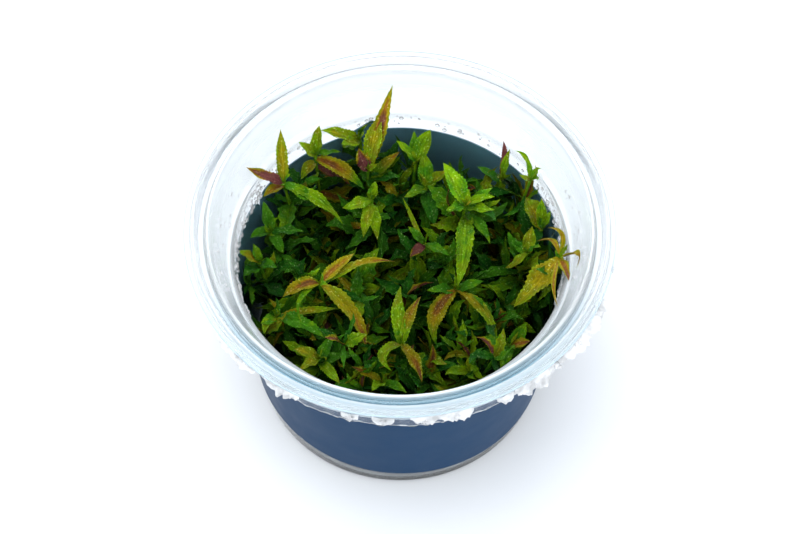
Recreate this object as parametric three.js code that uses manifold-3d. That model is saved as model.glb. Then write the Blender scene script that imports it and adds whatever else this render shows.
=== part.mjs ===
// A clear tub of tissue culture plants: the tub with its wrap-round label and what is left of its
// sealing film, the nutrient gel on its floor, and the shoots that are rooted in the gel.
// Millimetres, +Z up, origin at the centre of the tub's foot.
import * as THREE from "three";
import { mergeVertices } from "three/addons/utils/BufferGeometryUtils.js";
import Module from "manifold-3d";

// Tub
const FLANGE_RADIUS = 50.5;
const TUB_HEIGHT = 65.7;
const WALL = 0.8;
const FOOT_RADIUS = 36;
const WALL_FLARE = 0.082;
const LEDGE_HEIGHT = 54;
const LEDGE_RADIUS = 40.95;
const LIP_RADIUS = 44.85;
const TUB_SIDES = 36;

// Space kept between pieces that touch
const GAP = 0.3;

// Label: angles in degrees round the tub from +X, its two ends almost meeting at the back left
const LABEL_TOP = 47;
const LABEL_LOW = 7.6;
const LABEL_TILT = -1.5;
const LABEL_THICKNESS = 0.25;
const LABEL_START = -206;
const LABEL_END = 151.5;
const LABEL_CORNER = 3.5;
const TEAR_MIDDLE = 101;
const TEAR_HALF_WIDTH = 9;
const TEAR_RISE = 4;

// Torn sealing film: degrees round the rim, and how far it hangs below the flange
const FILM_RADIUS = 49.25;
const FILM_THICKNESS = 0.3;
const FILM_TOP = 64;
const FILM_LEAST = 0.5;
const FILM_STEP = 3;
const FILM_STRIPS = [
  { name: "seal_film", from: 231, to: 309, hang: 4.4 },
  { name: "seal_film_end", from: 313, to: 334, hang: 3 },
];

// Gel
const GEL_LOW = 2.2;
const GEL_ROUND = 3.4;
const GEL_TOP = 14;

// Shoots
const STEM_RADIUS = 0.55;
const STEM_FOOT = 8;
const BUD = 1.2;
const ROOT_SHARE = 0.8;
const BLADE_DEPTH = 0.3;
const BLADE_BASE = 0.25;
// A blade's half widths from stem to tip, as shares of its greatest, and the length that parts the
// long leaves from the short
const LONG_OUTLINE = [0, 0.95, 0.75, 0];
const SHORT_OUTLINE = [0, 0.95, 0];
const LONG_LEAF = 11;
// Sides of a blade's cone: keel and two edges, and more for the room kept round it
const BLADE_SIDES = 3;
const ROOM_SIDES = 6;
const STEM_SIDES = 5;

// Shoots that fill the tub between the tall ones
const FILL_SPOTS = 33;
const FILL_RADIUS = 33;
const FILL_SPACING = 4.3;
const FILL_LEAVES = 5;
const FILL_HEIGHT = 33;
const FILL_RISE = 9;
const FILL_LENGTH = 7.5;
const FILL_STRETCH = 4;
const FILL_WIDTH = 0.32;
const FILL_ARCH = 0.12;
const FILL_MARGIN = 4;
const FILL_TINTS = ["green", "bright", "dark", "olive"];
// Least climb of a leaf above level and how much more it may climb, in degrees
const FILL_CLIMB = 15;
const FILL_CLIMB_MORE = 50;
// Steps of the four rows of evenly spread values: crown height, heading, climb and length
const HEIGHT_STEP = 0.7549;
const HEADING_STEP = 0.5698;
const CLIMB_STEP = 0.3247;
const LENGTH_STEP = 0.618;

const COLOURS = {
  clear: 0xdfeaec,
  navy: 0x35507a,
  film: 0xf1f3f4,
  gel: 0x77806f,
  bright: 0x86b40c,
  green: 0x4d8a10,
  dark: 0x27500f,
  olive: 0x7f8a14,
  yellow: 0xc2b40e,
  brown: 0x7a4f1c,
  plum: 0x6e3b44,
};

// Tall shoots as they stand: the crown where the top whorl sits, and a row for each leaf with its
// tip, its width and how far it arches as a share of its length.
const TALL_SHOOTS = [
  { name: "shoot_back_tall", tint: "olive", crown: [-8, 27, 47], leaves: [
    [-1.8, 41.5, 63, 3.9, 0.06], [-4.8, 37, 57, 3.5, 0.08], [-10.2, 30, 52.5, 3.2, 0.1],
    [0, 30, 51, 3, 0.12], [0, 25.5, 46.5, 3.2, 0.15],
  ] },
  { name: "shoot_back_left", tint: "bright", crown: [-10, 34, 50], leaves: [
    [-19.5, 33, 56, 2.3, 0.12], [-14.5, 30.5, 53.5, 2.6, 0.1], [-15, 35, 47, 2.8, 0.15],
  ] },
  { name: "shoot_left_bright", tint: "bright", crown: [-21, 29, 51], leaves: [
    [-19.8, 33.4, 57.5, 3, 0.08], [-24.8, 28.8, 57, 2, 0.08], [-8.8, 22, 46, 3.1, 0.16],
    [-24.5, 24.5, 47, 2.8, 0.2], [-14.6, 30.7, 50, 1.6, 0.1],
  ] },
  { name: "shoot_left_tall", tint: "olive", crown: [-28.5, 20.5, 51], leaves: [
    [-29, 29, 62, 3.2, 0.05], [-37.3, 19.7, 59.5, 2.8, 0.12], [-33.3, 16, 52, 2.6, 0.15],
    [-14, 12.5, 45, 3, 0.15], [-19.5, 17, 48, 2.8, 0.15],
  ] },
  { name: "shoot_left_mid", tint: "green", crown: [-31.5, 10, 45], leaves: [
    [-32, 17, 50, 2.2, 0.08], [-36.5, 7, 47.5, 2.6, 0.25], [-28.5, 5, 43.5, 2.6, 0.25],
    [-23.5, 9.5, 46.5, 2.4, 0.12],
  ] },
  { name: "shoot_left_edge", tint: "bright", crown: [-34, 0, 47.5], leaves: [
    [-38.8, -0.8, 54, 2.4, 0.1], [-35.2, 2.2, 52.5, 2.1, 0.08], [-37.6, -5, 49.5, 3, 0.15],
    [-29.5, -2, 48.5, 2.6, 0.15],
  ] },
  { name: "shoot_centre_left", tint: "yellow", crown: [-7, 17, 49], leaves: [
    [-14, 14, 50, 3, 0.12], [-9, 8, 46, 2.8, 0.25], [-5.5, 8, 45, 2.8, 0.25],
    [-6, 20.5, 52, 2.2, 0.1],
  ] },
  { name: "shoot_back_mid", tint: "bright", crown: [4, 29, 48], leaves: [
    [7.6, 36, 52, 3.8, 0.1], [3.5, 36, 51.5, 2.4, 0.1], [-1, 32, 53, 2.2, 0.1],
  ] },
  { name: "shoot_centre_back", tint: "bright", crown: [6.5, 22.5, 46], leaves: [
    [1, 18.5, 48, 2.8, 0.15], [6, 30, 50.5, 3.6, 0.1], [8.5, 13, 43.5, 3.8, 0.15],
    [12, 26, 49, 2.4, 0.1],
  ] },
  { name: "shoot_star", tint: "bright", crown: [16, 14, 51], leaves: [
    [10.5, 22.6, 57, 4.3, 0.06], [22.5, 17, 54.5, 2.4, 0.12], [23, 12.5, 51.5, 2.3, 0.14],
    [11.2, 12.2, 51.5, 2.5, 0.12], [13.8, -6.4, 47, 3.9, 0.14], [21.9, 5.9, 46.5, 2.5, 0.2],
  ] },
  { name: "shoot_right_back", tint: "dark", crown: [25, 23.5, 48], leaves: [
    [25.3, 29.3, 57, 1.7, 0.06], [26.9, 27.4, 56, 1.8, 0.06], [28.8, 24, 44.5, 3.4, 0.15],
    [19, 25.5, 51, 2.2, 0.12],
  ] },
  { name: "shoot_right_hook", tint: "bright", crown: [31.8, 20, 53], leaves: [
    [27.8, 25.9, 57.5, 1.4, 0.15], [34.3, 20.8, 57, 1, 0.3],
  ] },
  { name: "shoot_right_fork", tint: "olive", crown: [34.5, 9.5, 47.5], leaves: [
    [34.3, 14.5, 53.5, 2.6, 0.05], [37, 11.5, 53, 1.8, 0.05], [30.8, 17.5, 49.5, 4.2, 0.15],
    [31, 4.5, 45, 2.6, 0.2],
  ] },
  { name: "shoot_right_lean", tint: "yellow", crown: [30.5, 1.5, 49.5], leaves: [
    [31.8, 6.8, 53, 2.9, 0.08], [25.4, -0.6, 46, 1.9, 0.25], [26.5, 5, 50, 2.2, 0.12],
  ] },
  { name: "shoot_right_yellow", tint: "yellow", crown: [37.8, -3, 54.5], leaves: [
    [35, 3, 58.5, 1.2, 0.25], [26.9, -13.8, 50, 4.9, 0.08], [41.3, -9.5, 60.5, 1.6, 0.3],
    [32.7, 2.6, 53, 1.1, 0.3], [40, -11.5, 57.5, 2.3, 0.1], [36.5, -19, 59, 1, 0.12],
  ] },
  { name: "shoot_left_yellow", tint: "brown", crown: [-19, -8, 51], leaves: [
    [-27.8, -11.2, 50, 3, 0.25], [-23, -17.5, 48.5, 1.1, 0.2], [-10.9, -0.8, 53, 2.6, 0.1],
    [-1.2, -1.5, 50.3, 2.2, 0.22], [-8, -23, 46, 3.9, 0.1],
  ] },
  { name: "shoot_centre_low", tint: "olive", crown: [13.3, -6, 44.5], leaves: [
    [8.8, -19.9, 42, 4.2, 0.2], [20.6, -25, 42.5, 2.3, 0.25], [20, -5.5, 48, 2.4, 0.15],
    [6.5, -7.5, 47, 2.4, 0.15],
  ] },
  { name: "shoot_front_curl", tint: "brown", crown: [0.4, -22.6, 47.5], leaves: [
    [-1.9, -30.2, 48.5, 2.4, 0.2], [5.1, -32, 46.5, 2.9, 0.15], [0.2, -7.6, 49, 3.3, 0.1],
    [5, -9.8, 48, 2.4, 0.12],
  ] },
  { name: "shoot_front_left", tint: "green", crown: [-29.5, -14.7, 46.5], leaves: [
    [-33, -17.8, 49, 2.7, 0.12], [-18, -20.6, 47.5, 3.3, 0.15], [-14.8, -12.8, 47.5, 2, 0.1],
    [-32.4, -21, 49, 2.2, 0.12],
  ] },
  { name: "shoot_front_low", tint: "olive", crown: [-19, -25.4, 45.5], leaves: [
    [-24.8, -24.2, 48.3, 2.5, 0.2], [-23.3, -29.2, 47.3, 2.4, 0.2], [-15.8, -20.7, 48, 2.7, 0.1],
    [-14, -33.3, 48.3, 2.5, 0.15], [-10, -25.5, 48, 2.4, 0.12],
  ] },
  { name: "shoot_front_mid", tint: "bright", crown: [-4, -30, 42], leaves: [
    [-6.5, -34.8, 47.5, 2.4, 0.15], [1.5, -34.5, 46, 2.2, 0.15],
  ] },
  { name: "shoot_front_right", tint: "green", crown: [26, -22, 45.5], leaves: [
    [29.6, -18.6, 51, 3.8, 0.05], [23.5, -28.5, 47, 2.8, 0.12], [31, -23, 49.3, 2.4, 0.15],
    [19, -21, 48, 2.4, 0.15],
  ] },
  { name: "shoot_centre", tint: "plum", crown: [6, 6, 46], leaves: [
    [0.6, 18.5, 48, 1.1, 0.06], [2.4, 2.2, 46.5, 2.3, 0.1], [12, 2, 47.5, 2.2, 0.12],
    [2, 9, 49.5, 2, 0.1],
  ] },
];

const wasm = await Module();
wasm.setup();

const degrees = THREE.MathUtils.degToRad;
const part = new THREE.Group();

// Outer radius of the tub's side at a height.
function sideRadius(height) {
  return FOOT_RADIUS + WALL_FLARE * height;
}

// A closed three.js geometry as a solid that can be joined and cut.
function solidOf(geometry) {
  geometry.deleteAttribute("normal");
  geometry.deleteAttribute("uv");
  const merged = mergeVertices(geometry, 1e-4);
  return new wasm.Manifold(new wasm.Mesh({
    numProp: 3,
    vertProperties: merged.attributes.position.array,
    triVerts: new Uint32Array(merged.index.array),
  }));
}

// Adds a solid to the part as a named mesh.
function place(name, solid, colour, roughness, opacity = 1) {
  const { vertProperties, triVerts } = solid.getMesh();
  const geometry = new THREE.BufferGeometry();
  geometry.setAttribute("position", new THREE.BufferAttribute(vertProperties, 3));
  geometry.setIndex(new THREE.BufferAttribute(triVerts, 1));
  geometry.computeVertexNormals();
  const material = new THREE.MeshStandardMaterial({
    color: colour,
    roughness,
    metalness: 0,
    opacity,
    transparent: opacity < 1,
  });
  const mesh = new THREE.Mesh(geometry, material);
  mesh.name = name;
  part.add(mesh);
}

// A profile of [radius, height] pairs turned round the tub's axis.
function turned(profile) {
  const points = profile.map(([radius, height]) => new THREE.Vector2(radius, height));
  return new THREE.LatheGeometry(points, TUB_SIDES).rotateX(Math.PI / 2);
}

// A thin band wrapped round the tub through a row of angles. Its lower and upper edges are functions of
// the angle, and its radius is a function of the height.
function wrapped({ angles, low, high, radius, thickness }) {
  const steps = angles.length - 1;
  const band = new THREE.BoxGeometry(1, 1, 1, steps, 1, 1);
  const corners = band.attributes.position;
  for (let i = 0; i < corners.count; i++) {
    const angle = angles[Math.round((corners.getX(i) + 0.5) * steps)];
    const height = THREE.MathUtils.lerp(low(angle), high(angle), corners.getY(i) + 0.5);
    const reach = radius(height) + thickness * (corners.getZ(i) + 0.5);
    const turn = degrees(angle);
    corners.setXYZ(i, reach * Math.cos(turn), reach * Math.sin(turn), height);
  }
  return band;
}

// The midrib of a leaf or the line of a stem: a curve from one point to another that rises by a share
// of its length.
function bowed(start, end, arch) {
  const middle = start.clone().lerp(end, 0.5);
  middle.z += arch * start.distanceTo(end);
  return new THREE.QuadraticBezierCurve3(start, middle, end);
}

// A stem of flat sides from its foot to its crown.
function stemSolid(foot, crown, radius) {
  const stem = new THREE.CylinderGeometry(1, 1, 1, STEM_SIDES, 1);
  const corners = stem.attributes.position;
  const bud = crown.clone();
  bud.z += BUD;
  for (let i = 0; i < corners.count; i++) {
    const centre = foot.clone().lerp(bud, corners.getY(i) + 0.5);
    const x = centre.x - radius * corners.getX(i);
    const y = centre.y + radius * corners.getZ(i);
    corners.setXYZ(i, x, y, centre.z);
  }
  return solidOf(stem);
}

// A leaf blade: a cone bent along the midrib and pressed flat, narrow where it leaves the stem, widest
// a third to a half of the way out, with a keel under the midrib.
function bladeSolid(crown, tip, width, arch, growth) {
  const run = tip.clone().sub(crown);
  const length = run.length();
  const outline = length > LONG_LEAF ? LONG_OUTLINE : SHORT_OUTLINE;
  const steps = outline.length - 1;
  const start = new THREE.Vector3(run.x, run.y, 0).setLength(BLADE_BASE).add(crown);
  const end = crown.clone().addScaledVector(run, 1 + growth / length);
  const midrib = bowed(start, end, arch);
  const across = new THREE.Vector3(run.y, -run.x, 0).normalize();
  const blade = new THREE.ConeGeometry(1, 1, growth ? ROOM_SIDES : BLADE_SIDES, steps);
  const corners = blade.attributes.position;
  for (let i = 0; i < corners.count; i++) {
    const share = corners.getY(i) + 0.5;
    const round = Math.hypot(corners.getX(i), corners.getZ(i)) > 0 && share < 1;
    const turn = Math.atan2(-corners.getX(i), corners.getZ(i));
    const half = Math.max(BLADE_BASE, outline[Math.round(share * steps)] * width / 2);
    const side = round ? Math.sin(turn) * (half + growth) / Math.sin(Math.PI / 3) : 0;
    const depth = round ? Math.cos(turn) * (BLADE_DEPTH + 2 * growth) : 0;
    const up = across.clone().cross(midrib.getTangent(share));
    const corner = midrib.getPoint(share).addScaledVector(across, side).addScaledVector(up, -depth);
    corners.setXYZ(i, corner.x, corner.y, corner.z);
  }
  return solidOf(blade);
}

// The pieces of a shoot, its stem from the gel to the crown and then the leaves that grow from the
// crown. Growth makes the larger forms that its neighbours keep clear of.
function shootPieces({ crown, leaves }, growth) {
  const top = new THREE.Vector3(...crown);
  const foot = new THREE.Vector3(top.x * ROOT_SHARE, top.y * ROOT_SHARE, STEM_FOOT);
  const blades = leaves.map(([x, y, z, width, arch]) =>
    bladeSolid(top, new THREE.Vector3(x, y, z), width, arch, growth));
  return [stemSolid(foot, top, STEM_RADIUS + growth), ...blades];
}

// Values between 0 and 1 that are spread evenly as the count goes up.
function spread(count, step) {
  return (0.5 + count * step) % 1;
}

// The shoots that stand between the tall ones, on a sunflower's spiral, wherever no tall shoot is
// rooted. Each has one whorl of leaves, kept inside the tub.
function fillShoots() {
  const shoots = [];
  for (let spot = 0; spot < FILL_SPOTS; spot++) {
    const turn = spot * Math.PI * (3 - Math.sqrt(5));
    const reach = FILL_RADIUS * Math.sqrt((spot + 0.5) / FILL_SPOTS);
    const height = FILL_HEIGHT + FILL_RISE * spread(spot, HEIGHT_STEP);
    const crown = [reach * Math.cos(turn), reach * Math.sin(turn), height];
    const near = TALL_SHOOTS.some((tall) =>
      Math.hypot(tall.crown[0] - crown[0], tall.crown[1] - crown[1]) < FILL_SPACING);
    if (near) continue;
    const leaves = [];
    for (let leaf = 0; leaf < FILL_LEAVES; leaf++) {
      const count = spot * FILL_LEAVES + leaf;
      const way = 2 * Math.PI * (leaf / FILL_LEAVES + spread(spot, HEADING_STEP));
      const climb = degrees(FILL_CLIMB + FILL_CLIMB_MORE * spread(count, CLIMB_STEP));
      const length = FILL_LENGTH + FILL_STRETCH * spread(count, LENGTH_STEP);
      const tip = [
        crown[0] + length * Math.cos(climb) * Math.cos(way),
        crown[1] + length * Math.cos(climb) * Math.sin(way),
        crown[2] + length * Math.sin(climb),
      ];
      const room = sideRadius(tip[2]) - FILL_MARGIN;
      const limit = Math.min(1, room / Math.hypot(tip[0], tip[1]));
      leaves.push([tip[0] * limit, tip[1] * limit, tip[2], FILL_WIDTH * length, FILL_ARCH]);
    }
    const tint = FILL_TINTS[spot % FILL_TINTS.length];
    const name = "shoot_" + String(spot).padStart(2, "0");
    shoots.push({ name, tint, crown, leaves });
  }
  return shoots;
}

// The tub, one wall thickness all over: foot ring, tapered side, stacking ledge, mouth and the rim
// with its lip, groove, ridge and flange.
const ledgeOuter = LEDGE_RADIUS + WALL;
const tub = solidOf(turned([
  [0, 1],
  [28, 1],
  [29, 0],
  [FOOT_RADIUS - 1, 0],
  [sideRadius(1.2), 1.2],
  [sideRadius(LEDGE_HEIGHT - WALL), LEDGE_HEIGHT - WALL],
  [ledgeOuter, LEDGE_HEIGHT],
  [LIP_RADIUS - 0.4, 60],
  [LIP_RADIUS + 0.6, 62.7],
  [48, 62.9],
  [48.1, 60.6],
  [48.9, 60.6],
  [49, 64.3],
  [FLANGE_RADIUS, 64.4],
  [FLANGE_RADIUS, 65.2],
  [48.9, 65.2],
  [48.5, TUB_HEIGHT],
  [47.9, TUB_HEIGHT],
  [47.1, 63.7],
  [45.9, 63.7],
  [45.5, 65.1],
  [LIP_RADIUS, 65],
  [LIP_RADIUS - 1.4, 59.5],
  [LEDGE_RADIUS, LEDGE_HEIGHT + 0.6],
  [sideRadius(LEDGE_HEIGHT) - WALL, LEDGE_HEIGHT],
  [sideRadius(3) - WALL, 3],
  [FOOT_RADIUS - 2.4, 1.9],
  [0, 1.9],
]));
place("tub", tub, COLOURS.clear, 0.12, 0.35);

const labelAngles = [LABEL_START, LABEL_START + 1, LABEL_START + LABEL_CORNER];
for (let angle = -200; angle < LABEL_END - LABEL_CORNER; angle += 360 / TUB_SIDES) {
  labelAngles.push(angle);
}
labelAngles.push(LABEL_END - LABEL_CORNER, LABEL_END - 1, LABEL_END);

// The label's lower edge is tilted, its upper edge has a torn tab, and both of its ends have round
// corners.
function labelCorner(angle) {
  const fromEnd = Math.min(angle - LABEL_START, LABEL_END - angle) / LABEL_CORNER;
  const rise = 1 - Math.sqrt(Math.max(0, 1 - (1 - Math.min(1, fromEnd)) ** 2));
  return rise * LABEL_CORNER;
}
const label = solidOf(wrapped({
  angles: labelAngles,
  low: (angle) => LABEL_LOW + LABEL_TILT * Math.cos(degrees(angle)),
  high: (angle) => {
    const tear = Math.max(0, 1 - Math.abs(angle - TEAR_MIDDLE) / TEAR_HALF_WIDTH);
    return LABEL_TOP + TEAR_RISE * tear - labelCorner(angle);
  },
  radius: (height) => sideRadius(height) + GAP,
  thickness: LABEL_THICKNESS,
}));
place("label", label, COLOURS.navy, 0.5);

// What is left of the sealing film hangs from the rim in torn strips with a ragged lower edge.
for (const { name, from, to, hang } of FILM_STRIPS) {
  const steps = Math.round((to - from) / FILM_STEP);
  const strip = solidOf(wrapped({
    angles: Array.from({ length: steps + 1 }, (_, i) => from + (to - from) * i / steps),
    low: (angle) => {
      const fade = Math.sin(Math.PI * (angle - from) / (to - from)) ** 0.4;
      const rag = 0.25 * Math.sin(angle * 1.7) + 0.2 * Math.sin(angle * 0.73);
      return FILM_TOP - FILM_LEAST - hang * Math.max(0, fade) * (1 + rag);
    },
    high: () => FILM_TOP,
    radius: () => FILM_RADIUS,
    thickness: FILM_THICKNESS,
  }));
  place(name, strip, COLOURS.film, 0.6, 0.8);
}

// Room inside the tub that the shoots stay in.
const inside = solidOf(turned([
  [0, STEM_FOOT],
  [sideRadius(STEM_FOOT) - WALL - GAP, STEM_FOOT],
  [sideRadius(LEDGE_HEIGHT) - WALL - GAP, LEDGE_HEIGHT],
  [LEDGE_RADIUS - GAP, LEDGE_HEIGHT + 1],
  [LIP_RADIUS - 1.4 - GAP, 59.5],
  [LIP_RADIUS - GAP, TUB_HEIGHT],
  [0, TUB_HEIGHT],
]));

// The gel fills the tub's floor, with a socket round each stem.
let gel = solidOf(turned([
  [0, GEL_LOW],
  [FOOT_RADIUS - 2.9, GEL_LOW],
  [sideRadius(GEL_ROUND) - WALL - GAP, GEL_ROUND],
  [sideRadius(GEL_TOP) - WALL - GAP, GEL_TOP],
  [0, GEL_TOP],
]));

// The shoots grow one after another. A leaf is left off where it would touch the tub or a shoot that
// already stands, and a shoot isn't grown where its stem would.
let taken = inside.subtract(inside);
for (const shoot of [...TALL_SHOOTS, ...fillShoots()]) {
  const isClear = (piece) => piece.intersect(taken).isEmpty() && piece.subtract(inside).isEmpty();
  const [stem, ...blades] = shootPieces(shoot, 0);
  const [stemRoom, ...bladeRooms] = shootPieces(shoot, GAP);
  if (!isClear(stem)) continue;
  let whole = stem;
  let room = stemRoom;
  blades.forEach((blade, i) => {
    if (!isClear(blade)) return;
    whole = whole.add(blade);
    room = room.add(bladeRooms[i]);
  });
  place(shoot.name, whole, COLOURS[shoot.tint], 0.45);
  gel = gel.subtract(stemRoom);
  taken = taken.add(room);
}
place("gel", gel, COLOURS.gel, 0.2, 0.8);

export default part;
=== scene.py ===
"""A clear tub of tissue culture shoots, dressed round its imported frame.

The tub, its label, the torn sealing film, the gel, the shoots, the droplets on the wall and the
studio are one operator each. Shapes are worked out in millimetres with the frame's axes: +Z up the
tub's middle, -Y towards the viewer.
"""

import math

import bpy
import numpy as np
from bpy.props import FloatProperty, FloatVectorProperty, IntProperty, PointerProperty
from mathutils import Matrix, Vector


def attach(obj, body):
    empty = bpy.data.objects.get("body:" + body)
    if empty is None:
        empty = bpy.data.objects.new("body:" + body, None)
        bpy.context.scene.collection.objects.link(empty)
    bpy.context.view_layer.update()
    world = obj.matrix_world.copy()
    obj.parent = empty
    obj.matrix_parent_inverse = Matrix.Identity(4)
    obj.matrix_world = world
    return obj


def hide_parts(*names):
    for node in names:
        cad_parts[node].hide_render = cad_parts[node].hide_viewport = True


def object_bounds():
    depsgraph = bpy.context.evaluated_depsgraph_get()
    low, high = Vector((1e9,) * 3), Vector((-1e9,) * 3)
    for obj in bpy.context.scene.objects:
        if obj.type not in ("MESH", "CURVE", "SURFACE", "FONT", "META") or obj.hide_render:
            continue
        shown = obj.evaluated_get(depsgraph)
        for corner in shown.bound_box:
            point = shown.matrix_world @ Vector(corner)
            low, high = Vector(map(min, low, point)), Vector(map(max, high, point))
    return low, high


bl_info = {
    "name": "Tissue culture plant cup",
    "version": (1, 0, 0),
    "blender": (4, 5, 0),
    "location": "View3D > Sidebar > Plant Cup",
    "description": "Builds a clear tub of tissue culture shoots round a packed frame",
    "category": "Object",
}

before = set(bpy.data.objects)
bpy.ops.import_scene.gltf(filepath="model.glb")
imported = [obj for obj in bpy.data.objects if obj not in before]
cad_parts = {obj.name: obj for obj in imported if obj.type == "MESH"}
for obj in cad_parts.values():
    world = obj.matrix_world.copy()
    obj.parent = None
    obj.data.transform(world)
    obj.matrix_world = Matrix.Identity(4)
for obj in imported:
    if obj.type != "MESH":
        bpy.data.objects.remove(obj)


def corners():
    """The shown object's lowest and highest corners as plain lists of metres."""
    return [[float(value) for value in corner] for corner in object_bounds()]


CAD_BOX = corners()
MM = 0.001
BODY = "root"
TURN = 2 * math.pi
GOLDEN_TURN = math.pi * (3 - math.sqrt(5))

# Tints run from deep shade to maroon along one ramp of leaf colours: place and colour's name.
TINTS = (
    (0.0, "shade"), (0.15, "deep"), (0.3, "green"), (0.45, "bright"), (0.55, "lime"),
    (0.63, "olive"), (0.74, "yellow"), (0.85, "orange"), (0.92, "brown"), (1.0, "maroon"))

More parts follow.
